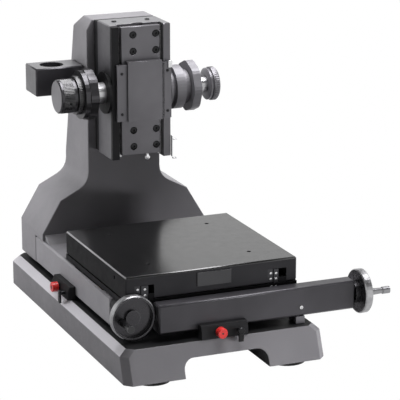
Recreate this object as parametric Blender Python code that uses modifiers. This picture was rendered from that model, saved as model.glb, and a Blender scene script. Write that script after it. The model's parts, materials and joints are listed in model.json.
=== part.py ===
# Mechanical measuring-microscope stage: cast base and column, Z focus unit, crossed-roller XY table.
# Units are metres. Z is up, the operator stands on the -Y side.
# Local zero is the front top edge of the base casting, on its centre plane, at the casting's underside.
import bpy
import bmesh
import math
from mathutils import Matrix, Vector

# Fits
SEAT = 0.0003
RUN = 0.0008
SLIDE_GAP = 0.0007
OVERRUN = 0.004
MERGE = 0.00001
FINE_SIDES = 40
ROUND_SIDES = 24
SMALL_SIDES = 12

# Base casting
BASE_HALF_WIDTH = 0.130
BASE_HEIGHT = 0.0397
BASE_LENGTH = 0.424
BASE_RAKE = 0.016
BASE_CORNER = 0.0086
BASE_TOP_CHAMFER = 0.0091
BASE_CHAMFER_DROP = 0.0081
BASE_REAR_CHAMFER = 0.003
ARCH_HALF_WIDTH = 0.054
ARCH_HEIGHT = 0.022
ARCH_CORNER = 0.013
ARCH_CORNER_STEPS = 6

# Feet
FOOT_RADIUS = 0.024
FOOT_HEIGHT = 0.004
FOOT_INSET_X = 0.042
FOOT_INSET_FRONT = 0.010
FOOT_INSET_REAR = 0.030

# Seat plate between the base and the upper castings
SEAT_HEIGHT = 0.0043
SEAT_INSET_X = 0.011
SEAT_INSET_FRONT = 0.011
SEAT_INSET_REAR = 0.011

# Deck and column castings
DECK_HALF_WIDTH = 0.115
DECK_HEIGHT = 0.0363
DECK_FRONT = 0.077
DECK_LENGTH = 0.2830
COLUMN_OVERLAP = 0.0307
DECK_BEVEL = 0.002
COLUMN_HEIGHT = 0.3257
COLUMN_DEPTH = 0.0914
NECK_HALF_WIDTH = 0.0502
COLUMN_TOP_CHAMFER = 0.008
COLUMN_TOP_DROP = 0.0137
COLUMN_REAR_CHAMFER = 0.018
COLUMN_REAR_DROP = 0.0157
COLUMN_TOP_DEPTH = 0.0514
REAR_SLOPE_START = 0.132
SHOULDER_LOW = 0.046
SHOULDER_HIGH = 0.0893
SHOULDER_HALF_WIDTH = 0.0892
FILLET_LOW = 0.1023
FILLET_HALF_WIDTH = 0.0636
NECK_START = 0.124

# Accessory holder on the column's left side
HOLDER_LENGTH = 0.0655
HOLDER_DEPTH = 0.044
HOLDER_HEIGHT = 0.0365
HOLDER_SETBACK = 0.0104
HOLDER_BOTTOM = 0.228
HOLDER_BORE = 0.0155
HOLDER_BORE_INSET = 0.0285
HOLDER_BEVEL = 0.0015
THUMB_SCREW_RADIUS = 0.003
THUMB_HEAD_RADIUS = 0.007
THUMB_HEAD_LENGTH = 0.011

# Z unit housing
Z_HALF_WIDTH = 0.040
Z_DEPTH = 0.0653
Z_BOTTOM = 0.153
Z_LENGTH = 0.174
Z_ARM = 0.010
Z_CHANNEL_DEPTH = 0.048
Z_ROOF = 0.003
Z_MOUNT_THICKNESS = 0.012
Z_MOUNT_DROP = 0.0015
Z_BEVEL = 0.0012
GIB_DEPTH = 0.0055
GIB_END = 0.001

# Z slide, its ways, plates and rack
Z_TRAVEL = 0.020
PLATE_SETBACK = 0.0012
PLATE_THICKNESS = 0.0061
PLATE_LEFT_GAP = 0.0031
PLATE_RIGHT_GAP = 0.0042
PLATE_END = 0.0015
PLATE_TOP_LENGTH = 0.051
PLATE_BOTTOM_LENGTH = 0.052
SLIDE_THICKNESS = 0.0056
RAIL_WIDTH = 0.005
WAY_DEPTH = 0.0052
SLIDE_END = 0.004
FIXED_RAIL_END = 0.003
RACK_HALF_WIDTH = 0.006
RACK_THICKNESS = 0.0033
RACK_END = 0.011
PLATE_SCREW_RADIUS = 0.0048
PLATE_SCREW_HEAD = 0.0036
PLATE_SCREW_INSET_RIGHT = 0.0056
PLATE_SCREW_INSET_LEFT = 0.0162
PLATE_SCREW_END = 0.0110
PLATE_SCREW_PITCH = 0.0212
STOP_BALL_RADIUS = 0.0035
STOP_PIN_RADIUS = 0.0015
STOP_PIN_LENGTH = 0.0018
STOP_PIN_X = 0.0088

# Cover that bridges the Z channel
COVER_LEFT_EDGE = 0.0350
COVER_RIGHT_EDGE = 0.0388
COVER_LENGTH = 0.077
COVER_DROP = 0.045
COVER_FLANGE = 0.005
COVER_RISE = 0.0037
COVER_LEFT = 0.0215
COVER_RIGHT = 0.025
COVER_STEP = 0.004

# Coaxial focus drive
FOCUS_BEHIND_SLIDE = 0.0072
FOCUS_UP = 0.0852
PINION_RADIUS = 0.0068
PINION_HALF_LENGTH = 0.009
SLEEVE_RADIUS = 0.006
SLEEVE_BORE = 0.0043
FINE_SHAFT_RADIUS = 0.004
HUB_FLANGE_RADIUS = 0.027
HUB_FLANGE = 0.003
HUB_RADIUS = 0.014
HUB_LENGTH_LEFT = 0.0155
HUB_LENGTH_RIGHT = 0.0258
HUB_WAIST_RADIUS = 0.022
HUB_DRUM_RADIUS = 0.0285
HUB_DRUM_START = 0.008
HUB_DRUM_END = 0.020
RING_RADIUS = 0.033
RING_WIDTH = 0.0106
COLLAR_RADIUS = 0.031
COLLAR_WIDTH = 0.0062
RING_LOBE_DEPTH = 0.0016
RING_LOBES = 8
KNURL_RADIUS = 0.0245
KNURL_WIDTH = 0.007
FINE_RADIUS = 0.0216
FINE_WIDTH_LEFT = 0.022
FINE_WIDTH_RIGHT = 0.008
FINE_NECK_RADIUS = 0.0095
FINE_NECK_LENGTH = 0.0218
FINE_EDGE = 0.0015
FINE_BORE_WALL = 0.003

# X carriage and its rails in the deck
TABLE_INSET = 0.0035
TABLE_DEPTH = 0.2132
CARRIAGE_THICKNESS = 0.0065
LIP_DEPTH = 0.014
LIP_DROP = 0.023
LIP_START = 0.0665
X_TRAVEL = 0.050
X_RAIL_WIDTH = 0.0077
X_RAIL_RELIEF = 0.0014
X_RAIL_HEIGHT = 0.0094
X_RAIL_INSET_LEFT = 0.020
X_RAIL_INSET_RIGHT = 0.011
X_GROOVE_DEPTH = 0.0103
X_GROOVE_INSET = 0.007

# Top table and its Y rails
TABLE_THICKNESS = 0.0298
TABLE_BEVEL = 0.0018
Y_GROOVE_ROOF = 0.0121
Y_GROOVE_RIGHT = 0.073
Y_GROOVE_LEFT = 0.0995
Y_RAIL_MOVING_RIGHT = 0.0065
Y_RAIL_FIXED_RIGHT = 0.0064
Y_VOID_RIGHT = 0.0095
Y_RAIL_MOVING_LEFT = 0.0071
Y_RAIL_FIXED_LEFT = 0.0089
Y_VOID_LEFT = 0.0065
Y_RAIL_RELIEF = 0.0012
Y_RIB_HEIGHT = 0.0072
Y_RAIL_END = 0.0012
TAP_RADIUS = 0.0025
TAP_DEPTH = 0.010
TAP_X = 0.0663
TAP_FRONT = 0.0424
TAP_REAR = 0.038
SIDE_HOLE_Y = 0.037
SIDE_HOLE_DROP = 0.0096
LABEL_WIDTH = 0.044
LABEL_HEIGHT = 0.017
LABEL_THICKNESS = 0.0008
LABEL_SHIFT = 0.002
LABEL_DROP = 0.0046

# Y drive: screw in the deck's left side, sliding coupling to the table, handwheel
Y_TRAVEL_FORWARD = 0.0035
Y_TRAVEL_LOSS = 0.1372
Y_SCREW_INSET = 0.0085
Y_SCREW_RADIUS = 0.0035
Y_SCREW_DROP = 0.0088
POCKET_WALL = 0.0024
POCKET_FRONT_WALL = 0.006
POCKET_DEPTH = 0.0203
NUT_HALF_LENGTH = 0.010
NUT_WIDTH = 0.012
NUT_HEIGHT = 0.0165
GUIDE_HALF_WIDTH = 0.004
GUIDE_HEIGHT = 0.008
GUIDE_DROP = 0.0033
FOLLOWER_HALF_LENGTH = 0.006
FOLLOWER_CHEEK = 0.0047
FOLLOWER_CROWN = 0.0085
Y_HOUSING_RADIUS = 0.0088
Y_HOUSING_BORE = 0.0065

# Handwheels and crank handles
WHEEL_RADIUS = 0.0275
WHEEL_WIDTH = 0.010
WHEEL_WEB = 0.004
WHEEL_RIM = 0.003
WHEEL_HUB_RADIUS = 0.009
WHEEL_EDGE = 0.0012
WHEEL_CLEARANCE = 0.0048
HANDLE_OFFSET_Y = 0.0135
HANDLE_ANGLE_Y = 200.0
HANDLE_OFFSET_X = 0.0172
HANDLE_ANGLE_X = 171.0
HANDLE_RADIUS = 0.0045
HANDLE_WAIST_RADIUS = 0.0036
HANDLE_LENGTH_Y = 0.024
HANDLE_LENGTH_X = 0.0259
HANDLE_END_LENGTH = 0.0095

# X drive beam in front of the table
BEAM_FRONT = 0.0095
BEAM_DEPTH = 0.0205
BEAM_BOTTOM_GAP = 0.0098
BEAM_HEIGHT = 0.036
BEAM_RIGHT = 0.180
BEAM_LEFT_CLEARANCE = 0.0006
BEAM_WALL = 0.004
BEAM_TOP_WALL = 0.0075
BEAM_FLOOR_WALL = 0.0085
BEAM_BEVEL = 0.0020
BEAM_TABLE_GAP = 0.0028
X_SCREW_RADIUS = 0.0045
X_SCREW_BEHIND = 0.0105
X_CAP_RADIUS = 0.014
X_CAP_LENGTH = 0.006
X_NUT_HALF = 0.014
X_NUT_HEIGHT = 0.016
BRACKET_LEFT = 0.030
BRACKET_RIGHT = 0.090
BRACKET_HEIGHT = 0.0075
POST_X = 0.106
POST_HALF_WIDTH = 0.006

# Transport clamps
CLAMP_LENGTH = 0.060
CLAMP_KNOB_PLACE = 0.0235
CLAMP_HEIGHT = 0.0168
CLAMP_DEPTH = 0.0105
CLAMP_RELIEF_HEIGHT = 0.0075
CLAMP_RELIEF_DEPTH = 0.003
CLAMP_FRONT_X = 0.028
CLAMP_LEFT_Y = 0.2615
CLAMP_KNOB_RADIUS = 0.0064
CLAMP_KNOB_LENGTH = 0.0082
CLAMP_KNOB_UP = 0.0080
CLAMP_STUD_RADIUS = 0.002
LEVER_PLACE = 0.048
LEVER_HALF_WIDTH = 0.003
LEVER_LENGTH = 0.016
LEVER_THICKNESS = 0.0028
LEVER_UP = 0.0075
LEVER_STANDOFF = 0.0050

# Levels and planes that follow from the sizes above
Y_TRAVEL_BACK = TABLE_DEPTH - Y_TRAVEL_LOSS
BASE_TOP = BASE_HEIGHT
DECK_BOTTOM = BASE_TOP + SEAT_HEIGHT
DECK_TOP = DECK_BOTTOM + DECK_HEIGHT
DECK_REAR = DECK_FRONT + DECK_LENGTH
COLUMN_FRONT = DECK_REAR - COLUMN_OVERLAP + SEAT
COLUMN_REAR = COLUMN_FRONT + COLUMN_DEPTH
COLUMN_TOP = DECK_BOTTOM + COLUMN_HEIGHT
CARRIAGE_BOTTOM = DECK_TOP + SLIDE_GAP
CARRIAGE_TOP = CARRIAGE_BOTTOM + CARRIAGE_THICKNESS
TABLE_BOTTOM = CARRIAGE_TOP + SEAT
TABLE_TOP = TABLE_BOTTOM + TABLE_THICKNESS
TABLE_HALF_WIDTH = DECK_HALF_WIDTH - TABLE_INSET
BEAM_REAR = BEAM_FRONT + BEAM_DEPTH
TABLE_FRONT = BEAM_REAR + BEAM_TABLE_GAP
TABLE_REAR = TABLE_FRONT + TABLE_DEPTH
BEAM_BOTTOM = BASE_TOP + BEAM_BOTTOM_GAP
BEAM_TOP = BEAM_BOTTOM + BEAM_HEIGHT
Y_SCREW_X = Y_SCREW_INSET - DECK_HALF_WIDTH
Y_SCREW_Z = DECK_TOP - Y_SCREW_DROP
Y_WHEEL_BACK = TABLE_FRONT - WHEEL_CLEARANCE
BEAM_LEFT = Y_SCREW_X + WHEEL_RADIUS + BEAM_LEFT_CLEARANCE
X_SCREW_Y = BEAM_FRONT + X_SCREW_BEHIND
X_SCREW_Z = BEAM_BOTTOM + BEAM_HEIGHT / 2 - BEAM_TOP_WALL / 2 + BEAM_FLOOR_WALL / 2
X_WHEEL_BACK = BEAM_RIGHT + X_CAP_LENGTH + 2 * SEAT
X_GROOVE_WIDTH = 2 * X_RAIL_WIDTH + X_RAIL_RELIEF + 3 * SEAT
X_GROOVE_FRONT = DECK_FRONT + X_GROOVE_INSET
X_RAIL_SHIFT = (X_RAIL_INSET_LEFT - X_RAIL_INSET_RIGHT) / 2
X_RAIL_FIXED_HALF = DECK_HALF_WIDTH - (X_RAIL_INSET_LEFT + X_RAIL_INSET_RIGHT) / 2
X_RAIL_MOVING_HALF = X_RAIL_FIXED_HALF - X_TRAVEL
POCKET_FRONT = X_GROOVE_FRONT + X_GROOVE_WIDTH + POCKET_FRONT_WALL
NUT_Y = POCKET_FRONT + NUT_HALF_LENGTH + Y_TRAVEL_FORWARD + 2 * RUN
POCKET_REAR = NUT_Y + NUT_HALF_LENGTH + Y_TRAVEL_BACK + 2 * RUN
X_GROOVE_REAR = POCKET_REAR + POCKET_FRONT_WALL
FOLLOWER_X = Y_SCREW_X + NUT_WIDTH / 2 + FOLLOWER_HALF_LENGTH + X_TRAVEL + 2 * RUN + 2 * SEAT
GUIDE_END = FOLLOWER_X + FOLLOWER_HALF_LENGTH + X_TRAVEL + RUN
Z_FRONT = COLUMN_FRONT - SEAT - Z_DEPTH
Z_REAR = COLUMN_FRONT - 2 * SEAT - Z_MOUNT_THICKNESS
Z_LOW = DECK_BOTTOM + Z_BOTTOM
Z_HIGH = Z_LOW + Z_LENGTH
Z_INNER = Z_HALF_WIDTH - Z_ARM
PLATE_FRONT = Z_FRONT + PLATE_SETBACK
PLATE_BACK = PLATE_FRONT + PLATE_THICKNESS
SLIDE_FRONT = PLATE_BACK + SEAT
SLIDE_BACK = SLIDE_FRONT + SLIDE_THICKNESS
RACK_BACK = SLIDE_BACK + SEAT + RACK_THICKNESS
FOCUS_Y = RACK_BACK + FOCUS_BEHIND_SLIDE
FOCUS_Z = Z_LOW + FOCUS_UP
RAIL_INNER = Z_INNER - SEAT - RAIL_WIDTH
SLIDE_HALF_WIDTH = RAIL_INNER - SEAT
HUB_ROOT = Z_HALF_WIDTH + SEAT
HUB_END_LEFT = HUB_ROOT + HUB_FLANGE + HUB_LENGTH_LEFT
HUB_END_RIGHT = HUB_ROOT + HUB_FLANGE + HUB_LENGTH_RIGHT
RING_LEFT = HUB_END_LEFT + RUN
RING_RIGHT = HUB_END_RIGHT + RUN
KNURL_END = RING_LEFT + RING_WIDTH + COLLAR_WIDTH + KNURL_WIDTH
FINE_LEFT = KNURL_END + RUN
FINE_RIGHT = RING_RIGHT + RING_WIDTH + RUN
HOLDER_RIGHT = -NECK_HALF_WIDTH - SEAT
HOLDER_FRONT = COLUMN_FRONT + HOLDER_SETBACK
HOLDER_LOW = DECK_BOTTOM + HOLDER_BOTTOM
HOLDER_BORE_X = HOLDER_RIGHT - HOLDER_LENGTH + HOLDER_BORE_INSET
HOLDER_BORE_Y = HOLDER_FRONT + HOLDER_DEPTH / 2 - SEAT
CLAMP_BOTTOM = BASE_TOP + SEAT
SHELF_LEFT = DECK_HALF_WIDTH + SEAT
LEVER_PLANE_LEFT = max(SHELF_LEFT + CLAMP_DEPTH + LEVER_STANDOFF, BASE_HALF_WIDTH + RUN)
LEFT_EDGE = SHELF_LEFT + CLAMP_DEPTH + CLAMP_KNOB_LENGTH + RUN
RIGHT_EDGE = X_WHEEL_BACK + WHEEL_WIDTH + HANDLE_LENGTH_X
MIDDLE_X = (RIGHT_EDGE - LEFT_EDGE) / 2
MIDDLE_Y = (BASE_LENGTH - BASE_RAKE) / 2

# Turns that carry a part's own axis from +Z to the axis it has on the stand
TO_X = (0, math.pi / 2, 0)
TO_MINUS_X = (0, -math.pi / 2, 0)
TO_FRONT = (math.pi / 2, 0, 0)
TO_REAR = (-math.pi / 2, 0, 0)
TO_DOWN = (math.pi, 0, 0)
UPRIGHT = (0, 0, 0)

# Fillet between the column's shoulder and its neck, as shares of its step in width and in height
FILLET_SHARES = [(1.0, 0.0), (0.58, 0.18), (0.28, 0.40), (0.07, 0.69), (0.0, 1.0)]


def clear_scene():
    for obj in list(bpy.data.objects):
        bpy.data.objects.remove(obj, do_unlink=True)


def make_collection(name):
    collection = bpy.data.collections.new(name)
    bpy.context.scene.collection.children.link(collection)
    return collection


def make_material(name, colour, roughness, metallic):
    material = bpy.data.materials.new(name)
    material.use_nodes = True
    shader = material.node_tree.nodes["Principled BSDF"]
    shader.inputs["Base Color"].default_value = (colour[0], colour[1], colour[2], 1.0)
    shader.inputs["Roughness"].default_value = roughness
    shader.inputs["Metallic"].default_value = metallic
    return material


clear_scene()
PARTS = make_collection("microscope_stage")
CUTTERS = make_collection("cutters")

GREY_PAINT = make_material("grey_paint", (0.16, 0.165, 0.17), 0.55, 0.0)
BLACK_ANODISED = make_material("black_anodised", (0.022, 0.022, 0.025), 0.38, 0.6)
DARK_ANODISED = make_material("dark_anodised", (0.055, 0.057, 0.06), 0.42, 0.5)
GREY_ANODISED = make_material("grey_anodised", (0.13, 0.13, 0.135), 0.40, 0.5)
BLACK_STEEL = make_material("black_steel", (0.03, 0.03, 0.032), 0.35, 0.8)
BRIGHT_STEEL = make_material("bright_steel", (0.62, 0.62, 0.63), 0.25, 1.0)
GROUND_STEEL = make_material("ground_steel", (0.45, 0.45, 0.46), 0.35, 1.0)
BRONZE = make_material("bronze", (0.55, 0.36, 0.16), 0.40, 1.0)
RUBBER = make_material("rubber", (0.02, 0.02, 0.02), 0.85, 0.0)
RED_PLASTIC = make_material("red_plastic", (0.55, 0.02, 0.02), 0.35, 0.0)


def make_empty(name, parent, place):
    empty = bpy.data.objects.new(name, None)
    PARTS.objects.link(empty)
    empty.parent = parent
    empty.location = place
    return empty


ROOT = make_empty("stand_origin", None, (-MIDDLE_X, -MIDDLE_Y, FOOT_HEIGHT))


def add_object(name, mesh, material, place, turn, parent):
    obj = bpy.data.objects.new(name, mesh)
    PARTS.objects.link(obj)
    mesh.materials.append(material)
    obj.parent = parent if parent else ROOT
    obj.location = place
    obj.rotation_euler = turn
    return obj


def add_cutter(name, mesh, place, turn):
    obj = bpy.data.objects.new(name, mesh)
    CUTTERS.objects.link(obj)
    obj.parent = ROOT
    obj.location = place
    obj.rotation_euler = turn
    obj.hide_render = True
    obj.display_type = "WIRE"
    return obj


def smooth(mesh):
    mesh.shade_smooth()
    mesh.set_sharp_from_angle(angle=math.radians(35))
    return mesh


def box_mesh(name, size):
    mesh = bpy.data.meshes.new(name)
    shape = bmesh.new()
    bmesh.ops.create_cube(shape, size=1.0)
    bmesh.ops.scale(shape, vec=size, verts=shape.verts)
    shape.to_mesh(mesh)
    shape.free()
    return mesh


def middle(low, high):
    return tuple((a + b) / 2 for a, b in zip(low, high))


def extent(low, high):
    return tuple(b - a for a, b in zip(low, high))


def box(name, material, low, high, bevel=0.0, parent=None, origin=None):
    mesh = box_mesh(name, extent(low, high))
    place = middle(low, high)
    if origin:
        mesh.transform(Matrix.Translation(Vector(place) - Vector(origin)))
        place = origin
    obj = add_object(name, mesh, material, place, UPRIGHT, parent)
    if bevel > 0:
        add_bevel(obj, bevel)
    return obj


def add_bevel(obj, width):
    edge = obj.modifiers.new("edges", "BEVEL")
    edge.width = width
    edge.segments = 1
    edge.limit_method = "ANGLE"
    edge.angle_limit = math.radians(50)
    return edge


def box_cutter(name, low, high):
    return add_cutter(name, box_mesh(name, extent(low, high)), middle(low, high), UPRIGHT)


def rod_mesh(name, radius, length, sides):
    mesh = bpy.data.meshes.new(name)
    shape = bmesh.new()
    bmesh.ops.create_cone(shape, cap_ends=True, segments=sides, radius1=radius, radius2=radius, depth=length)
    bmesh.ops.translate(shape, vec=(0, 0, length / 2), verts=shape.verts)
    shape.to_mesh(mesh)
    shape.free()
    return smooth(mesh)


def rod(name, material, foot, turn, radius, length, sides=ROUND_SIDES, parent=None):
    return add_object(name, rod_mesh(name, radius, length, sides), material, foot, turn, parent)


def rod_cutter(name, foot, turn, radius, length, sides=ROUND_SIDES):
    return add_cutter(name, rod_mesh(name, radius, length, sides), foot, turn)


def profile_mesh(name, points, closed):
    mesh = bpy.data.meshes.new(name)
    count = len(points)
    edges = [(index, index + 1) for index in range(count - 1)]
    if closed:
        edges.append((count - 1, 0))
    mesh.from_pydata([(radius, 0, height) for radius, height in points], edges, [])
    return mesh


def add_screw(obj, sides):
    turn = obj.modifiers.new("turned", "SCREW")
    turn.axis = "Z"
    turn.angle = 2 * math.pi
    turn.steps = sides
    turn.render_steps = sides
    turn.use_merge_vertices = True
    turn.merge_threshold = MERGE
    turn.use_smooth_shade = False
    return turn


def turned(name, material, points, place, turn, closed=False, sides=FINE_SIDES, parent=None):
    return add_object(name, smooth(turned_mesh(name, points, closed, sides)), material, place, turn, parent)


def baked(obj):
    bpy.context.view_layer.update()
    graph = bpy.context.evaluated_depsgraph_get()
    return bpy.data.meshes.new_from_object(obj.evaluated_get(graph))


def turned_mesh(name, points, closed=False, sides=FINE_SIDES):
    obj = bpy.data.objects.new(name, profile_mesh(name, points, closed))
    CUTTERS.objects.link(obj)
    add_screw(obj, sides)
    mesh = baked(obj)
    bpy.data.objects.remove(obj)
    return mesh


def outline_mesh(name, outline, thickness):
    curve = bpy.data.curves.new(name, "CURVE")
    curve.dimensions = "2D"
    curve.fill_mode = "BOTH"
    curve.extrude = thickness / 2
    spline = curve.splines.new("POLY")
    spline.points.add(len(outline) - 1)
    for point, (across, along) in zip(spline.points, outline):
        point.co = (across, along, 0, 1)
    spline.use_cyclic_u = True
    obj = bpy.data.objects.new(name, curve)
    CUTTERS.objects.link(obj)
    mesh = baked(obj)
    bpy.data.objects.remove(obj)
    shape = bmesh.new()
    shape.from_mesh(mesh)
    bmesh.ops.remove_doubles(shape, verts=shape.verts, dist=SEAT / 10)
    bmesh.ops.recalc_face_normals(shape, faces=shape.faces)
    shape.to_mesh(mesh)
    shape.free()
    return mesh


def cut(obj, *tools):
    for tool in tools:
        step = obj.modifiers.new(tool.name, "BOOLEAN")
        step.operation = "DIFFERENCE"
        step.object = tool


def unite(obj, *tools):
    for tool in tools:
        step = obj.modifiers.new(tool.name, "BOOLEAN")
        step.operation = "UNION"
        step.object = tool


def keep_common(obj, tool):
    step = obj.modifiers.new(tool.name, "BOOLEAN")
    step.operation = "INTERSECT"
    step.object = tool


def chamfered_ring(half_width, front, rear, corner, height):
    return [
        (-half_width + corner, front, height),
        (half_width - corner, front, height),
        (half_width, front + corner, height),
        (half_width, rear - corner, height),
        (half_width - corner, rear, height),
        (-half_width + corner, rear, height),
        (-half_width, rear - corner, height),
        (-half_width, front + corner, height),
    ]


def loft_mesh(name, rings):
    mesh = bpy.data.meshes.new(name)
    shape = bmesh.new()
    loops = [[shape.verts.new(point) for point in ring] for ring in rings]
    count = len(loops[0])
    for lower, upper in zip(loops, loops[1:]):
        for index in range(count):
            after = (index + 1) % count
            shape.faces.new((lower[index], lower[after], upper[after], upper[index]))
    shape.faces.new(list(reversed(loops[0])))
    shape.faces.new(loops[-1])
    bmesh.ops.recalc_face_normals(shape, faces=shape.faces)
    shape.to_mesh(mesh)
    shape.free()
    return mesh


def mirrored_outline(right_side):
    left_side = [(-across, up) for across, up in reversed(right_side)]
    return right_side + left_side


def foot_places():
    across = BASE_HALF_WIDTH - FOOT_INSET_X
    rear = BASE_LENGTH - FOOT_INSET_REAR
    return [(-across, FOOT_INSET_FRONT), (across, FOOT_INSET_FRONT), (-across, rear), (across, rear)]


def build_base():
    drop = BASE_HEIGHT - BASE_CHAMFER_DROP
    lean = -BASE_RAKE * BASE_CHAMFER_DROP / BASE_HEIGHT
    rings = [
        chamfered_ring(BASE_HALF_WIDTH, -BASE_RAKE, BASE_LENGTH, BASE_CORNER, 0),
        chamfered_ring(BASE_HALF_WIDTH, lean, BASE_LENGTH, BASE_CORNER, drop),
        chamfered_ring(BASE_HALF_WIDTH - BASE_TOP_CHAMFER, 0, BASE_LENGTH - BASE_REAR_CHAMFER,
                       BASE_CORNER, BASE_HEIGHT),
    ]
    base = add_object("base_casting", loft_mesh("base_casting", rings), GREY_PAINT, (0, 0, 0), UPRIGHT, None)
    half = [(ARCH_HALF_WIDTH, -OVERRUN)]
    for step in range(ARCH_CORNER_STEPS + 1):
        angle = math.radians(90 * step / ARCH_CORNER_STEPS)
        half.append((ARCH_HALF_WIDTH - ARCH_CORNER * (1 - math.cos(angle)),
                     ARCH_HEIGHT - ARCH_CORNER * (1 - math.sin(angle))))
    length = BASE_LENGTH + BASE_RAKE + 2 * OVERRUN
    mesh = outline_mesh("arch", mirrored_outline(half), length)
    cut(base, add_cutter("arch", mesh, (0, (BASE_LENGTH - BASE_RAKE) / 2, 0), TO_FRONT))


def build_feet():
    top = FOOT_HEIGHT - SEAT
    profile = [(0, top), (FOOT_RADIUS - RUN, top), (FOOT_RADIUS, top / 2), (FOOT_RADIUS - RUN, 0), (0, 0)]
    names = ("foot_front_left", "foot_front_right", "foot_rear_left", "foot_rear_right")
    for name, (across, along) in zip(names, foot_places()):
        turned(name, RUBBER, profile, (across, along, -FOOT_HEIGHT), UPRIGHT, False, ROUND_SIDES)


def build_seat_plate():
    low = (SEAT_INSET_X - DECK_HALF_WIDTH, DECK_FRONT + SEAT_INSET_FRONT, BASE_TOP + SEAT)
    high = (DECK_HALF_WIDTH - SEAT_INSET_X, COLUMN_REAR - SEAT_INSET_REAR, DECK_BOTTOM - SEAT)
    box("seat_plate", RUBBER, low, high)


def build_deck():
    low = (-DECK_HALF_WIDTH, DECK_FRONT, DECK_BOTTOM)
    high = (DECK_HALF_WIDTH, DECK_REAR, DECK_TOP)
    deck = box("deck_body", GREY_PAINT, low, high, DECK_BEVEL)
    floor = DECK_TOP - X_GROOVE_DEPTH
    reach = X_RAIL_FIXED_HALF + RUN
    for name, front in (("front", X_GROOVE_FRONT), ("rear", X_GROOVE_REAR)):
        cut(deck, box_cutter("x_groove_" + name, (X_RAIL_SHIFT - reach, front, floor),
                             (X_RAIL_SHIFT + reach, front + X_GROOVE_WIDTH, DECK_TOP + OVERRUN)))
    cut(deck, box_cutter("y_pocket", (POCKET_WALL - DECK_HALF_WIDTH, POCKET_FRONT, DECK_TOP - POCKET_DEPTH),
                         (GUIDE_END + RUN, POCKET_REAR, DECK_TOP + OVERRUN)))
    start = DECK_FRONT - OVERRUN
    cut(deck, rod_cutter("y_screw_bore", (Y_SCREW_X, start, Y_SCREW_Z), TO_REAR,
                         Y_SCREW_RADIUS + SEAT, POCKET_REAR + POCKET_FRONT_WALL - start))
    return deck


def shoulder_points():
    low = DECK_BOTTOM + FILLET_LOW
    rise = NECK_START - FILLET_LOW
    waist = FILLET_HALF_WIDTH - NECK_HALF_WIDTH
    points = [(DECK_HALF_WIDTH, DECK_BOTTOM + SHOULDER_LOW), (SHOULDER_HALF_WIDTH, DECK_BOTTOM + SHOULDER_HIGH)]
    points += [(NECK_HALF_WIDTH + waist * across, low + rise * up) for across, up in FILLET_SHARES]
    return points


def build_column():
    right = [(DECK_HALF_WIDTH, DECK_BOTTOM)]
    right += shoulder_points()
    right += [(NECK_HALF_WIDTH, COLUMN_TOP - COLUMN_TOP_DROP),
              (NECK_HALF_WIDTH - COLUMN_TOP_CHAMFER, COLUMN_TOP)]
    mesh = outline_mesh("column_casting", mirrored_outline(right), COLUMN_DEPTH)
    mesh.transform(Matrix.Rotation(math.pi / 2, 4, "X"))
    place = (0, (COLUMN_FRONT + COLUMN_REAR) / 2, 0)
    column = add_object("column_casting", mesh, GREY_PAINT, place, UPRIGHT, None)
    top_rear = COLUMN_FRONT + COLUMN_TOP_DEPTH
    side = [(COLUMN_FRONT - OVERRUN, DECK_BOTTOM - OVERRUN), (COLUMN_REAR + OVERRUN, DECK_BOTTOM - OVERRUN),
            (COLUMN_REAR + OVERRUN, DECK_BOTTOM + REAR_SLOPE_START / 2),
            (COLUMN_REAR, DECK_BOTTOM + REAR_SLOPE_START),
            (top_rear, COLUMN_TOP - COLUMN_REAR_DROP),
            (top_rear - COLUMN_REAR_CHAMFER, COLUMN_TOP + SEAT),
            (COLUMN_FRONT - OVERRUN, COLUMN_TOP + SEAT)]
    rear = outline_mesh("column_side", side, 2 * (DECK_HALF_WIDTH + OVERRUN))
    rear.transform(Matrix.Rotation(math.pi / 2, 4, "X"))
    rear.transform(Matrix.Rotation(math.pi / 2, 4, "Z"))
    keep_common(column, add_cutter("column_side", rear, (0, 0, 0), UPRIGHT))
    cut(column, box_cutter("column_rebate", (-DECK_HALF_WIDTH - OVERRUN, COLUMN_FRONT - OVERRUN, DECK_BOTTOM - OVERRUN),
                           (DECK_HALF_WIDTH + OVERRUN, DECK_REAR + SEAT, DECK_TOP + SEAT)))


def build_holder():
    low = (HOLDER_RIGHT - HOLDER_LENGTH, HOLDER_FRONT, HOLDER_LOW)
    high = (HOLDER_RIGHT, HOLDER_FRONT + HOLDER_DEPTH, HOLDER_LOW + HOLDER_HEIGHT)
    block = box("holder_block", GREY_ANODISED, low, high, HOLDER_BEVEL)
    cut(block, rod_cutter("holder_bore", (HOLDER_BORE_X, HOLDER_BORE_Y, HOLDER_LOW - OVERRUN), UPRIGHT,
                          HOLDER_BORE, HOLDER_HEIGHT + 2 * OVERRUN, FINE_SIDES))
    up = HOLDER_LOW + HOLDER_HEIGHT / 2
    rear = HOLDER_FRONT + HOLDER_DEPTH
    cut(block, rod_cutter("thumb_bore", (HOLDER_BORE_X, HOLDER_BORE_Y, up), TO_REAR,
                          THUMB_SCREW_RADIUS + SEAT, HOLDER_DEPTH, SMALL_SIDES))
    length = rear - HOLDER_BORE_Y - HOLDER_BORE - RUN
    profile = [(0, THUMB_HEAD_LENGTH), (THUMB_HEAD_RADIUS, THUMB_HEAD_LENGTH), (THUMB_HEAD_RADIUS, 0),
               (THUMB_SCREW_RADIUS, 0), (THUMB_SCREW_RADIUS, -length), (0, -length)]
    turned("holder_screw", BLACK_STEEL, profile, (HOLDER_BORE_X, rear + SEAT, up), TO_REAR, False, ROUND_SIDES)


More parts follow.
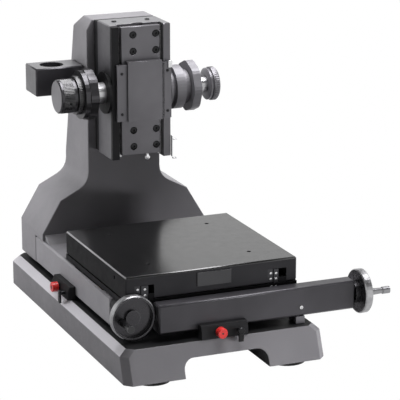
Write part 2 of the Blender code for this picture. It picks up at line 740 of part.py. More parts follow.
def build_z_body():
    low = (-Z_HALF_WIDTH, Z_FRONT, Z_LOW)
    high = (Z_HALF_WIDTH, Z_REAR, Z_HIGH)
    body = box("z_body", GREY_ANODISED, low, high, Z_BEVEL)
    cut(body, box_cutter("z_channel", (-Z_INNER, Z_FRONT - OVERRUN, Z_LOW - OVERRUN),
                         (Z_INNER, Z_FRONT + Z_CHANNEL_DEPTH, Z_HIGH - Z_ROOF)))
    cut(body, box_cutter("z_channel_mouth", (-Z_INNER, Z_FRONT - OVERRUN, Z_HIGH - Z_ROOF - OVERRUN),
                         (Z_INNER, SLIDE_BACK + RUN, Z_HIGH + OVERRUN)))
    cut(body, box_cutter("rack_notch", (-RACK_HALF_WIDTH - RUN, SLIDE_BACK, Z_HIGH - Z_ROOF - OVERRUN),
                         (RACK_HALF_WIDTH + RUN, RACK_BACK + RUN, Z_HIGH + OVERRUN)))
    cut(body, box_cutter("gib_seat", (-Z_HALF_WIDTH - OVERRUN, Z_FRONT - OVERRUN, Z_LOW - OVERRUN),
                         (-Z_INNER + OVERRUN, Z_FRONT + GIB_DEPTH + SEAT, Z_HIGH + OVERRUN)))
    cut(body, rod_cutter("focus_bore", (-Z_HALF_WIDTH - OVERRUN, FOCUS_Y, FOCUS_Z), TO_X,
                         SLEEVE_RADIUS + SEAT, 2 * (Z_HALF_WIDTH + OVERRUN)))
    box("z_gib_strip", BLACK_ANODISED, (-Z_HALF_WIDTH, Z_FRONT, Z_LOW + GIB_END),
        (-Z_INNER - SEAT, Z_FRONT + GIB_DEPTH, Z_HIGH - GIB_END))
    box("z_mounting_plate", BLACK_ANODISED, (-Z_HALF_WIDTH + SEAT, Z_REAR + SEAT, Z_LOW + Z_MOUNT_DROP),
        (Z_HALF_WIDTH - SEAT, COLUMN_FRONT - SEAT, Z_HIGH - Z_MOUNT_DROP), Z_BEVEL / 2)


def build_z_ways():
    low = Z_LOW + FIXED_RAIL_END
    high = Z_HIGH - FIXED_RAIL_END
    for name, inner, outer in (("left", -RAIL_INNER - RAIL_WIDTH, -RAIL_INNER),
                               ("right", RAIL_INNER, RAIL_INNER + RAIL_WIDTH)):
        box("z_rail_" + name, GROUND_STEEL, (inner, SLIDE_FRONT + SEAT, low), (outer, SLIDE_FRONT + WAY_DEPTH, high))


def plate_screw_places():
    left = -Z_INNER + PLATE_LEFT_GAP + PLATE_SCREW_INSET_LEFT
    right = Z_INNER - PLATE_RIGHT_GAP - PLATE_SCREW_INSET_RIGHT
    top = Z_HIGH - PLATE_END - PLATE_SCREW_END
    bottom = Z_LOW + SLIDE_END + PLATE_END + PLATE_SCREW_END
    rows = (top, top - PLATE_SCREW_PITCH, bottom + PLATE_SCREW_PITCH, bottom)
    return [(across, up) for up in rows for across in (left, right)]


def plate_screw_cutters(name, places):
    cutters = []
    start = PLATE_FRONT - OVERRUN
    for index, (across, up) in enumerate(places):
        cutters.append(rod_cutter("%s_head_%d" % (name, index), (across, start, up), TO_REAR,
                                  PLATE_SCREW_RADIUS, OVERRUN + PLATE_SCREW_HEAD, SMALL_SIDES))
    return cutters


def build_z_slide():
    axis = (0, SLIDE_BACK, (Z_LOW + Z_HIGH) / 2)
    box("z_slide", GREY_ANODISED, (-SLIDE_HALF_WIDTH, SLIDE_FRONT, Z_LOW + SLIDE_END),
        (SLIDE_HALF_WIDTH, SLIDE_BACK, Z_HIGH - SLIDE_END), 0.0, None, axis)
    places = plate_screw_places()
    left = -Z_INNER + PLATE_LEFT_GAP
    right = Z_INNER - PLATE_RIGHT_GAP
    top = Z_HIGH - PLATE_END
    bottom = Z_LOW + SLIDE_END + PLATE_END
    upper = box("z_plate_top", GREY_ANODISED, (left, PLATE_FRONT, top - PLATE_TOP_LENGTH),
                (right, PLATE_BACK, top), Z_BEVEL / 2)
    cut(upper, *plate_screw_cutters("upper_screw", places[:4]))
    lower = box("z_plate_bottom", GREY_ANODISED, (left, PLATE_FRONT, bottom),
                (right, PLATE_BACK, bottom + PLATE_BOTTOM_LENGTH), Z_BEVEL / 2)
    cut(lower, *plate_screw_cutters("lower_screw", places[4:]))
    box("z_rack", GROUND_STEEL, (-RACK_HALF_WIDTH, SLIDE_BACK + SEAT, Z_LOW + SLIDE_END + RACK_END),
        (RACK_HALF_WIDTH, RACK_BACK, Z_HIGH - SLIDE_END - RACK_END))
    build_stop_pin(bottom)


def build_stop_pin(bottom):
    steps = 8
    profile = [(0, -SEAT), (STOP_PIN_RADIUS, -SEAT), (STOP_PIN_RADIUS, -STOP_PIN_LENGTH)]
    centre = -STOP_PIN_LENGTH - math.sqrt(STOP_BALL_RADIUS ** 2 - STOP_PIN_RADIUS ** 2)
    start = math.asin(STOP_PIN_RADIUS / STOP_BALL_RADIUS)
    for index in range(1, steps):
        angle = start + (math.pi - start) * index / steps
        profile.append((STOP_BALL_RADIUS * math.sin(angle), centre + STOP_BALL_RADIUS * math.cos(angle)))
    profile.append((0, centre - STOP_BALL_RADIUS))
    turned("z_stop_pin", BRIGHT_STEEL, profile, (STOP_PIN_X, (PLATE_FRONT + PLATE_BACK) / 2, bottom),
           UPRIGHT, False, ROUND_SIDES)


def cover_levels():
    high = Z_HIGH - COVER_DROP
    return high - COVER_LENGTH, high


def build_cover():
    low, high = cover_levels()
    back = Z_FRONT - SEAT
    flange = box("z_cover", GREY_ANODISED, (-COVER_LEFT_EDGE, back - COVER_FLANGE, low),
                 (COVER_RIGHT_EDGE, back, high - COVER_STEP))
    raised = box_cutter("cover_raised", (-COVER_LEFT, back - COVER_FLANGE - COVER_RISE, low - SEAT),
                        (COVER_RIGHT, back - SEAT, high))
    unite(flange, raised)
    add_bevel(flange, Z_BEVEL / 2)


def lobed_outline(radius, depth, lobes, steps):
    outline = []
    for index in range(lobes * steps):
        angle = 2 * math.pi * index / (lobes * steps)
        reach = radius - depth * (1 - math.cos(lobes * angle)) / 2
        outline.append((reach * math.cos(angle), reach * math.sin(angle)))
    return outline


def build_coarse_knob(name, side, start, steps):
    """A lobed ring with a bore; steps are the radius and the length of each round step outside it."""
    turn = TO_X if side > 0 else TO_MINUS_X
    mesh = outline_mesh(name, lobed_outline(RING_RADIUS, RING_LOBE_DEPTH, RING_LOBES, 6), RING_WIDTH)
    mesh.transform(Matrix.Translation((0, 0, RING_WIDTH / 2)))
    knob = add_object(name, mesh, BLACK_ANODISED, (side * start, FOCUS_Y, FOCUS_Z), turn, None)
    length = RING_WIDTH
    for index, (radius, width) in enumerate(steps):
        length += width
        unite(knob, rod_cutter("%s_step_%d" % (name, index), (side * start, FOCUS_Y, FOCUS_Z), turn, radius, length,
                               FINE_SIDES))
    cut(knob, rod_cutter(name + "_bore", (side * (start - OVERRUN), FOCUS_Y, FOCUS_Z), turn,
                         SLEEVE_RADIUS + SEAT, length + 2 * OVERRUN))


def build_focus_hub(name, side, steps):
    """A round hub with a bore; steps are the radius and the end of each step, outwards from the body."""
    bore = SLEEVE_RADIUS + 2 * SEAT
    profile = [(bore, 0), (HUB_FLANGE_RADIUS, 0), (HUB_FLANGE_RADIUS, HUB_FLANGE)]
    level = HUB_FLANGE
    for radius, end in steps:
        profile += [(radius, level), (radius, end)]
        level = end
    profile.append((bore, level))
    turn = TO_X if side > 0 else TO_MINUS_X
    turned(name, BLACK_ANODISED, list(reversed(profile)), (side * HUB_ROOT, FOCUS_Y, FOCUS_Z), turn, True)


def build_fine_knobs():
    bore = FINE_SHAFT_RADIUS + SEAT
    profile = [(0, FINE_WIDTH_LEFT), (FINE_RADIUS - FINE_EDGE, FINE_WIDTH_LEFT),
               (FINE_RADIUS, FINE_WIDTH_LEFT - FINE_EDGE), (FINE_RADIUS, 0), (bore, 0),
               (bore, FINE_WIDTH_LEFT - FINE_BORE_WALL), (0, FINE_WIDTH_LEFT - FINE_BORE_WALL)]
    turned("fine_knob_left", BLACK_ANODISED, profile, (-FINE_LEFT, FOCUS_Y, FOCUS_Z), TO_MINUS_X)
    deep = FINE_NECK_LENGTH + FINE_WIDTH_RIGHT
    profile = [(0, deep), (FINE_RADIUS - FINE_EDGE, deep), (FINE_RADIUS, deep - FINE_EDGE),
               (FINE_RADIUS, FINE_NECK_LENGTH), (FINE_NECK_RADIUS, FINE_NECK_LENGTH), (FINE_NECK_RADIUS, 0),
               (bore, 0), (bore, deep - FINE_BORE_WALL), (0, deep - FINE_BORE_WALL)]
    turned("fine_knob_right", BLACK_ANODISED, profile, (FINE_RIGHT, FOCUS_Y, FOCUS_Z), TO_X)
    start = FINE_LEFT + FINE_WIDTH_LEFT - FINE_BORE_WALL - SEAT
    end = FINE_RIGHT + deep - FINE_BORE_WALL - SEAT
    mesh = rod_mesh("fine_shaft", FINE_SHAFT_RADIUS, start + end, ROUND_SIDES)
    mesh.transform(Matrix.Translation((0, 0, -start)))
    add_object("fine_shaft", mesh, GROUND_STEEL, (0, FOCUS_Y, FOCUS_Z), TO_X, None)


def build_focus_drive():
    build_focus_hub("focus_hub_left", -1, [(HUB_RADIUS, HUB_FLANGE + HUB_LENGTH_LEFT)])
    build_focus_hub("focus_hub_right", 1, [(HUB_WAIST_RADIUS, HUB_DRUM_START), (HUB_DRUM_RADIUS, HUB_DRUM_END),
                                           (HUB_WAIST_RADIUS, HUB_FLANGE + HUB_LENGTH_RIGHT)])
    build_coarse_knob("coarse_knob_left", -1, RING_LEFT, [(COLLAR_RADIUS, COLLAR_WIDTH), (KNURL_RADIUS, KNURL_WIDTH)])
    build_coarse_knob("coarse_knob_right", 1, RING_RIGHT, [])
    build_fine_knobs()
    left = -KNURL_END
    right = RING_RIGHT + RING_WIDTH
    profile = [(SLEEVE_BORE, right), (SLEEVE_RADIUS, right), (SLEEVE_RADIUS, PINION_HALF_LENGTH),
               (PINION_RADIUS, PINION_HALF_LENGTH), (PINION_RADIUS, -PINION_HALF_LENGTH),
               (SLEEVE_RADIUS, -PINION_HALF_LENGTH), (SLEEVE_RADIUS, left), (SLEEVE_BORE, left)]
    turned("pinion_sleeve", GROUND_STEEL, profile, (0, FOCUS_Y, FOCUS_Z), TO_X, True, ROUND_SIDES)


def x_rail_rows():
    front_fixed = X_GROOVE_FRONT + SEAT
    front_moving = front_fixed + X_RAIL_WIDTH + X_RAIL_RELIEF
    rear_moving = X_GROOVE_REAR + 2 * SEAT
    rear_fixed = rear_moving + X_RAIL_WIDTH + X_RAIL_RELIEF
    return front_fixed, front_moving, rear_moving, rear_fixed


def build_x_rails():
    front_fixed, front_moving, rear_moving, rear_fixed = x_rail_rows()
    floor = DECK_TOP - X_GROOVE_DEPTH + SEAT
    reach = X_RAIL_FIXED_HALF
    for name, start in (("front", front_fixed), ("rear", rear_fixed)):
        box("x_rail_%s_fixed" % name, GROUND_STEEL, (X_RAIL_SHIFT - reach, start, floor),
            (X_RAIL_SHIFT + reach, start + X_RAIL_WIDTH, floor + X_RAIL_HEIGHT))
    top = CARRIAGE_BOTTOM - SEAT
    for name, start in (("front", front_moving), ("rear", rear_moving)):
        box("x_rail_%s_moving" % name, GROUND_STEEL, (X_RAIL_SHIFT - X_RAIL_MOVING_HALF, start, top - X_RAIL_HEIGHT),
            (X_RAIL_SHIFT + X_RAIL_MOVING_HALF, start + X_RAIL_WIDTH, top))


def y_rail_row(start, moving, fixed, rib):
    row = {"moving": (start + SEAT, start + SEAT + moving)}
    inner = row["moving"][1] + Y_RAIL_RELIEF
    row["fixed"] = (inner, inner + fixed)
    inner = row["fixed"][1] + SEAT
    row["rib"] = (inner, inner + rib)
    return row


def y_rail_rows():
    left = y_rail_row(-Y_GROOVE_LEFT, Y_RAIL_MOVING_LEFT, Y_RAIL_FIXED_LEFT, Y_VOID_LEFT)
    right = y_rail_row(Y_GROOVE_RIGHT, Y_RAIL_MOVING_RIGHT, Y_RAIL_FIXED_RIGHT, Y_VOID_RIGHT)
    return left, right


def build_carriage():
    low = (-TABLE_HALF_WIDTH, TABLE_FRONT, CARRIAGE_BOTTOM)
    high = (TABLE_HALF_WIDTH, TABLE_REAR, CARRIAGE_TOP)
    carriage = box("x_carriage", BLACK_ANODISED, low, high)
    lip = box_cutter("carriage_lip", (LIP_START - TABLE_HALF_WIDTH, TABLE_FRONT, CARRIAGE_BOTTOM - LIP_DROP),
                     (TABLE_HALF_WIDTH, TABLE_FRONT + LIP_DEPTH, CARRIAGE_BOTTOM + CARRIAGE_THICKNESS / 2))
    unite(carriage, lip)
    for name, rows in zip(("left", "right"), y_rail_rows()):
        rib = box_cutter("carriage_rib_" + name, (rows["rib"][0], TABLE_FRONT + SEAT, CARRIAGE_TOP - SEAT),
                         (rows["rib"][1] - SEAT, TABLE_REAR - SEAT, CARRIAGE_TOP + Y_RIB_HEIGHT))
        unite(carriage, rib)
    cheek = GUIDE_HALF_WIDTH + SEAT + FOLLOWER_CHEEK + 2 * RUN
    slot = box_cutter("follower_slot", (FOLLOWER_X - FOLLOWER_HALF_LENGTH - RUN, NUT_Y - cheek - Y_TRAVEL_FORWARD,
                                        CARRIAGE_BOTTOM - OVERRUN),
                      (FOLLOWER_X + FOLLOWER_HALF_LENGTH + RUN, NUT_Y + cheek + Y_TRAVEL_BACK,
                       CARRIAGE_TOP + OVERRUN))
    cut(carriage, slot)


def build_table():
    low = (-TABLE_HALF_WIDTH, TABLE_FRONT, TABLE_BOTTOM)
    high = (TABLE_HALF_WIDTH, TABLE_REAR, TABLE_TOP)
    table = box("top_table", BLACK_ANODISED, low, high, TABLE_BEVEL)
    roof = TABLE_TOP - Y_GROOVE_ROOF
    for name, rows in zip(("left", "right"), y_rail_rows()):
        cut(table, box_cutter("y_groove_" + name, (rows["moving"][0] - SEAT, TABLE_FRONT - OVERRUN,
                                                   TABLE_BOTTOM - OVERRUN),
                              (rows["rib"][1], TABLE_REAR + OVERRUN, roof)))
    for index, (across, along) in enumerate(tap_places()):
        cut(table, rod_cutter("tap_%d" % index, (across, along, TABLE_TOP - TAP_DEPTH), UPRIGHT,
                              TAP_RADIUS, TAP_DEPTH + OVERRUN, SMALL_SIDES))
    cut(table, rod_cutter("side_hole", (-TABLE_HALF_WIDTH - OVERRUN, TABLE_FRONT + SIDE_HOLE_Y,
                                        TABLE_TOP - SIDE_HOLE_DROP), TO_X, TAP_RADIUS, 2 * OVERRUN, SMALL_SIDES))
    high_edge = TABLE_TOP - LABEL_DROP
    box("label_plate", DARK_ANODISED,
        (LABEL_SHIFT - LABEL_WIDTH / 2, TABLE_FRONT - SEAT - LABEL_THICKNESS, high_edge - LABEL_HEIGHT),
        (LABEL_SHIFT + LABEL_WIDTH / 2, TABLE_FRONT - SEAT, high_edge))


def tap_places():
    front = TABLE_FRONT + TAP_FRONT
    rear = TABLE_REAR - TAP_REAR
    return [(-TAP_X, front), (TAP_X, front), (-TAP_X, rear), (TAP_X, rear)]


def build_y_rails():
    roof = TABLE_TOP - Y_GROOVE_ROOF
    front = TABLE_FRONT + Y_RAIL_END
    rear = TABLE_REAR - Y_RAIL_END
    for name, row in zip(("left", "right"), y_rail_rows()):
        start, stop = row["moving"]
        box("y_rail_%s_moving" % name, GROUND_STEEL, (start, front, TABLE_BOTTOM + RUN), (stop, rear, roof - SEAT))
        start, stop = row["fixed"]
        box("y_rail_%s_fixed" % name, GROUND_STEEL, (start, front, CARRIAGE_TOP + SEAT), (stop, rear, roof - RUN))


def build_y_drive():
    top = DECK_TOP - GUIDE_DROP
    nut_low = (Y_SCREW_X - NUT_WIDTH / 2 + SEAT, NUT_Y - NUT_HALF_LENGTH, Y_SCREW_Z - NUT_HEIGHT / 2)
    nut_high = (Y_SCREW_X + NUT_WIDTH / 2, NUT_Y + NUT_HALF_LENGTH, Y_SCREW_Z + NUT_HEIGHT / 2)
    nut = box("y_nut_carriage", BRONZE, nut_low, nut_high)
    bar = box_cutter("y_guide_bar", (Y_SCREW_X + NUT_WIDTH / 2 - SEAT, NUT_Y - GUIDE_HALF_WIDTH, top - GUIDE_HEIGHT),
                     (GUIDE_END, NUT_Y + GUIDE_HALF_WIDTH, top))
    unite(nut, bar)
    cut(nut, rod_cutter("y_nut_bore", (Y_SCREW_X, NUT_Y - NUT_HALF_LENGTH - OVERRUN, Y_SCREW_Z), TO_REAR,
                        Y_SCREW_RADIUS + SEAT, 2 * (NUT_HALF_LENGTH + OVERRUN)))
    cheek = GUIDE_HALF_WIDTH + SEAT + FOLLOWER_CHEEK
    follower = box("y_follower", GROUND_STEEL,
                   (FOLLOWER_X - FOLLOWER_HALF_LENGTH, NUT_Y - cheek, top - GUIDE_HEIGHT),
                   (FOLLOWER_X + FOLLOWER_HALF_LENGTH, NUT_Y + cheek, TABLE_BOTTOM - SEAT))
    cut(follower, box_cutter("follower_gap", (FOLLOWER_X - FOLLOWER_HALF_LENGTH - OVERRUN,
                                              NUT_Y - GUIDE_HALF_WIDTH - SEAT, top - GUIDE_HEIGHT - OVERRUN),
                             (FOLLOWER_X + FOLLOWER_HALF_LENGTH + OVERRUN, NUT_Y + GUIDE_HALF_WIDTH + SEAT,
                              top + SEAT)))
    start = Y_WHEEL_BACK - WHEEL_WEB + SEAT
    end = POCKET_REAR + POCKET_FRONT_WALL - RUN
    rod("y_screw", GROUND_STEEL, (Y_SCREW_X, start, Y_SCREW_Z), TO_REAR, Y_SCREW_RADIUS, end - start, ROUND_SIDES)
    inner = Y_SCREW_RADIUS + SEAT
    length = DECK_FRONT - SEAT - Y_WHEEL_BACK - RUN
    profile = [(inner, length), (Y_HOUSING_BORE, length), (Y_HOUSING_RADIUS, length - RUN),
               (Y_HOUSING_RADIUS, 0), (inner, 0)]
    turned("y_bearing_housing", BLACK_ANODISED, profile, (Y_SCREW_X, DECK_FRONT - SEAT, Y_SCREW_Z), TO_FRONT,
           True, ROUND_SIDES)


def wheel_profile(bore):
    lip = WHEEL_RADIUS - WHEEL_RIM
    face = WHEEL_WIDTH
    floor = WHEEL_WEB
    return [(0, floor + WHEEL_WEB), (WHEEL_HUB_RADIUS, floor + WHEEL_WEB), (WHEEL_HUB_RADIUS, floor), (lip, floor),
            (lip, face), (WHEEL_RADIUS - WHEEL_EDGE, face), (WHEEL_RADIUS, face - WHEEL_EDGE),
            (WHEEL_RADIUS, WHEEL_EDGE), (WHEEL_RADIUS - WHEEL_EDGE, 0), (bore, 0),
            (bore, floor), (0, floor)]


def handle_profile(length, knob):
    body = HANDLE_RADIUS
    waist = HANDLE_WAIST_RADIUS
    return [(0, length), (body, length), (body, length - knob), (waist, length - knob - RUN),
            (body, SEAT + RUN), (body - RUN, SEAT), (0, SEAT)]


def build_handles():
    turned("y_handwheel", DARK_ANODISED, wheel_profile(Y_SCREW_RADIUS + SEAT),
           (Y_SCREW_X, Y_WHEEL_BACK, Y_SCREW_Z), TO_FRONT)
    turned("x_handwheel", DARK_ANODISED, wheel_profile(X_SCREW_RADIUS + SEAT),
           (X_WHEEL_BACK, X_SCREW_Y, X_SCREW_Z), TO_X)
    turn = math.radians(HANDLE_ANGLE_Y)
    across = Y_SCREW_X + HANDLE_OFFSET_Y * math.cos(turn)
    up = Y_SCREW_Z + HANDLE_OFFSET_Y * math.sin(turn)
    floor = Y_WHEEL_BACK - WHEEL_WEB
    length = WHEEL_WIDTH - WHEEL_WEB + HANDLE_LENGTH_Y
    turned("y_handle", BLACK_ANODISED, handle_profile(length, HANDLE_END_LENGTH), (across, floor, up), TO_FRONT,
           False, ROUND_SIDES)
    turn = math.radians(HANDLE_ANGLE_X)
    along = X_SCREW_Y + HANDLE_OFFSET_X * math.cos(turn)
    up = X_SCREW_Z + HANDLE_OFFSET_X * math.sin(turn)
    floor = X_WHEEL_BACK + WHEEL_WEB
    length = WHEEL_WIDTH - WHEEL_WEB + HANDLE_LENGTH_X
    turned("x_handle", BLACK_ANODISED, handle_profile(length, HANDLE_END_LENGTH), (floor, along, up), TO_X,
           False, ROUND_SIDES)


def build_beam():
    beam = box("beam_housing", DARK_ANODISED, (BEAM_LEFT, BEAM_FRONT, BEAM_BOTTOM), (BEAM_RIGHT, BEAM_REAR, BEAM_TOP),
               BEAM_BEVEL)
    cut(beam, box_cutter("beam_channel", (BEAM_LEFT + BEAM_WALL, BEAM_FRONT + BEAM_WALL, BEAM_BOTTOM + BEAM_FLOOR_WALL),
                         (BEAM_RIGHT - BEAM_WALL, BEAM_REAR + OVERRUN, BEAM_TOP - BEAM_TOP_WALL)))
    start = BEAM_LEFT - OVERRUN
    cut(beam, rod_cutter("beam_bore", (start, X_SCREW_Y, X_SCREW_Z), TO_X, X_SCREW_RADIUS + SEAT,
                         BEAM_RIGHT + OVERRUN - start))
    inner = X_SCREW_RADIUS + SEAT
    profile = [(inner, X_CAP_LENGTH), (X_CAP_RADIUS, X_CAP_LENGTH), (X_CAP_RADIUS, 0), (inner, 0)]
    turned("x_bearing_cap", BLACK_ANODISED, profile, (BEAM_RIGHT + SEAT, X_SCREW_Y, X_SCREW_Z), TO_X, True, ROUND_SIDES)
    level = CARRIAGE_BOTTOM - LIP_DROP - RUN
    box("beam_bracket", BLACK_ANODISED, (-BRACKET_LEFT, BEAM_REAR + SEAT, level - BRACKET_HEIGHT),
        (BRACKET_RIGHT, DECK_FRONT - SEAT, level))
    box("beam_post", BLACK_ANODISED, (POST_X - POST_HALF_WIDTH, BEAM_FRONT, BASE_TOP + SEAT),
        (POST_X + POST_HALF_WIDTH, BEAM_REAR, BEAM_BOTTOM - SEAT))


def build_x_drive():
    end = X_WHEEL_BACK + WHEEL_WEB - SEAT
    rod("x_screw", GROUND_STEEL, (BEAM_LEFT, X_SCREW_Y, X_SCREW_Z), TO_X, X_SCREW_RADIUS, end - BEAM_LEFT, ROUND_SIDES)
    nut = box("x_nut", BRONZE, (-X_NUT_HALF, BEAM_FRONT + BEAM_WALL + RUN, X_SCREW_Z - X_NUT_HEIGHT / 2),
              (X_NUT_HALF, TABLE_FRONT - SEAT, X_SCREW_Z + X_NUT_HEIGHT / 2))
    cut(nut, rod_cutter("x_nut_bore", (-X_NUT_HALF - OVERRUN, X_SCREW_Y, X_SCREW_Z), TO_X, X_SCREW_RADIUS + SEAT,
                        2 * (X_NUT_HALF + OVERRUN)))


def clamp_outline():
    foot = -CLAMP_DEPTH + CLAMP_RELIEF_DEPTH
    return [(0, 0), (-CLAMP_DEPTH, 0), (-CLAMP_DEPTH, CLAMP_HEIGHT - CLAMP_RELIEF_HEIGHT),
            (foot, CLAMP_HEIGHT), (0, CLAMP_HEIGHT)]


def build_clamps():
    reach = CLAMP_DEPTH
    front_face = BEAM_FRONT - SEAT
    knob_z = CLAMP_BOTTOM + CLAMP_KNOB_UP
    lever_z = CLAMP_BOTTOM + LEVER_UP
    build_clamp("front", TO_FRONT, (CLAMP_LENGTH / 2 - CLAMP_FRONT_X, front_face, CLAMP_BOTTOM), 0.0,
                (CLAMP_KNOB_PLACE - CLAMP_FRONT_X, front_face - reach, knob_z),
                (LEVER_PLACE - CLAMP_FRONT_X, front_face - reach, lever_z), LEVER_STANDOFF)
    build_clamp("left", TO_MINUS_X, (-SHELF_LEFT, CLAMP_LEFT_Y - CLAMP_LENGTH / 2, CLAMP_BOTTOM), -math.pi / 2,
                (-SHELF_LEFT - reach, CLAMP_LEFT_Y - CLAMP_KNOB_PLACE, knob_z),
                (-SHELF_LEFT - reach, CLAMP_LEFT_Y - LEVER_PLACE, lever_z),
                LEVER_PLANE_LEFT - SHELF_LEFT - CLAMP_DEPTH)


def build_clamp(side, turn, place, heading, knob_spot, lever_spot, standoff):
    mesh = outline_mesh(side + "_clamp_body", clamp_outline(), CLAMP_LENGTH)
    mesh.transform(Matrix.Rotation(math.pi / 2, 4, "X"))
    mesh.transform(Matrix.Rotation(math.pi / 2, 4, "Z"))
    body = add_object(side + "_clamp_body", mesh, DARK_ANODISED, place, (0, 0, heading), None)
    deep = CLAMP_DEPTH / 2
    profile = [(0, CLAMP_KNOB_LENGTH + RUN), (CLAMP_KNOB_RADIUS - RUN, CLAMP_KNOB_LENGTH + RUN),
               (CLAMP_KNOB_RADIUS, CLAMP_KNOB_LENGTH), (CLAMP_KNOB_RADIUS, RUN), (CLAMP_STUD_RADIUS, RUN),
               (CLAMP_STUD_RADIUS, -deep), (0, -deep)]
    turned(side + "_clamp_knob", RED_PLASTIC, profile, knob_spot, turn, False, ROUND_SIDES)
    cut(body, clamp_hole(side + "_knob_hole", knob_spot, turn, deep))
    build_lever(side, lever_spot, turn, deep, standoff)
    cut(body, clamp_hole(side + "_lever_hole", lever_spot, turn, deep))


def clamp_hole(name, spot, turn, deep):
    reach = deep + SEAT
    inward = (0, reach, 0) if turn == TO_FRONT else (reach, 0, 0)
    foot = tuple(a + b for a, b in zip(spot, inward))
    return rod_cutter(name, foot, turn, CLAMP_STUD_RADIUS + SEAT, reach + OVERRUN, SMALL_SIDES)


def build_lever(side, spot, turn, deep, standoff):
    arm = [(LEVER_HALF_WIDTH, LEVER_HALF_WIDTH), (-LEVER_HALF_WIDTH, LEVER_HALF_WIDTH),
           (-LEVER_HALF_WIDTH, LEVER_HALF_WIDTH - LEVER_LENGTH), (LEVER_HALF_WIDTH, LEVER_HALF_WIDTH - LEVER_LENGTH)]
    mesh = outline_mesh(side + "_clamp_lever", arm, LEVER_THICKNESS)
    mesh.transform(Matrix.Translation((0, 0, standoff + LEVER_THICKNESS / 2)))
    if turn == TO_MINUS_X:
        mesh.transform(Matrix.Rotation(-math.pi / 2, 4, "Z"))
    lever = add_object(side + "_clamp_lever", mesh, BLACK_STEEL, spot, turn, None)
    stud = rod_cutter(side + "_lever_stud", spot, turn, CLAMP_STUD_RADIUS, deep + standoff + LEVER_THICKNESS / 2,
                      SMALL_SIDES)
    stud.data.transform(Matrix.Translation((0, 0, -deep)))
    unite(lever, stud)


build_base()
build_feet()
build_seat_plate()
build_deck()
build_column()
build_holder()
build_z_body()
build_z_ways()
build_z_slide()
build_cover()
build_focus_drive()
build_x_rails()
build_carriage()
build_table()
build_y_rails()
build_y_drive()
build_handles()
build_beam()
build_x_drive()
build_clamps()
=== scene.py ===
# Mechanical microscope stage: surfaces, small fittings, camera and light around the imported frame.
import json
import math

import bmesh
import bpy
from mathutils import Matrix, Vector

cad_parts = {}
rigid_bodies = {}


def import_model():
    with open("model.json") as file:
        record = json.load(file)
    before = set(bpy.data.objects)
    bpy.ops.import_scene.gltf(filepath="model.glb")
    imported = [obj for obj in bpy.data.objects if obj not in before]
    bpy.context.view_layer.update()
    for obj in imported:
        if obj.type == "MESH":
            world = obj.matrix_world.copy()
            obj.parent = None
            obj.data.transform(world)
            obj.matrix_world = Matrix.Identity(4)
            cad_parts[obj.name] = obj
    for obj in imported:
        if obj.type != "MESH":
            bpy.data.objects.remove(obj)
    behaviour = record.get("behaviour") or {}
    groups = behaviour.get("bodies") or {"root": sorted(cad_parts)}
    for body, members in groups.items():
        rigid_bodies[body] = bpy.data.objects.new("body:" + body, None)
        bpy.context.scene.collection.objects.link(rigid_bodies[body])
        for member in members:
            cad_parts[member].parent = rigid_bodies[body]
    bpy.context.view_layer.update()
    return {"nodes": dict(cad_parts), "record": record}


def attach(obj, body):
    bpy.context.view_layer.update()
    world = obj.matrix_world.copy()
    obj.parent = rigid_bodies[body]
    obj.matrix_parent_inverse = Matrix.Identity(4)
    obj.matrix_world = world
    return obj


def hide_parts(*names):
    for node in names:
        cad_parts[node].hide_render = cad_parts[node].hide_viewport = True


for leftover in list(bpy.data.objects):
    bpy.data.objects.remove(leftover)

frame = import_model()
NODES = frame["nodes"]
BEHAVIOUR = frame["record"]["behaviour"]
BODY_OF = {node: body for body, members in BEHAVIOUR["bodies"].items() for node in members}
SLOT_OF = {part["node"]: part["material_slot"] for part in frame["record"]["subparts"]}
JOINT_PLACES = {joint["name"]: Vector(joint.get("pos_m", (0, 0, 0)))
                for joint in BEHAVIOUR["joints"]}

FRONT = (0, -1, 0)
LEFT = (-1, 0, 0)
RIGHT = (1, 0, 0)
UP = (0, 0, 1)
DOWN = (0, 0, -1)

# Where at() measures from: the base's middle, its front top edge and the casting's underside
LOCAL_ZERO = Vector((-0.04385, -0.204, 0.004))


def at(x, y, z):
    """A place in the frame, given in millimetres from the local zero."""
    return LOCAL_ZERO + Vector((x, y, z)) / 1000


# The focus knobs' axis, and a reach between the left hub's neck and its flange
FOCUS_MIDDLE = at(0, 288.0, 282.2)
HUB_NECK_REACH = 0.0165
# A handwheel's faces are rim beyond this reach from its axis, unless they are its flat ends
RIM_REACH = 0.0262
WHEEL_END = 0.8

# A face counts as straight along an axis, or as sloping, from this share of it in its normal
STRAIGHT = 0.9
SLOPING = 0.3

# Points this close are one point, and faces this close to level are one face
WELD_DISTANCE = 0.00001
LEVEL_ANGLE = math.radians(0.4)
# Pieces whose faces run round openings: these are cut up before their edges are rounded
CUT_UP = ("deck_body", "z_body")
# Smooth shading stops at edges sharper than this
SHARP_ANGLE = math.radians(32)


# Materials
def new_material(name):
    material = bpy.data.materials.new(name)
    material.use_nodes = True
    tree = material.node_tree
    return material, tree, tree.nodes["Principled BSDF"]


def add_node(tree, kind, **inputs):
    node = tree.nodes.new(kind)
    for key, value in inputs.items():
        node.inputs[key.replace("_", " ")].default_value = value
    return node


def maths(tree, operation, *sources):
    """One step of maths on these sockets."""
    step = tree.nodes.new("ShaderNodeMath")
    step.operation = operation
    for index, source in enumerate(sources):
        tree.links.new(source, step.inputs[index])
    return step.outputs["Value"]


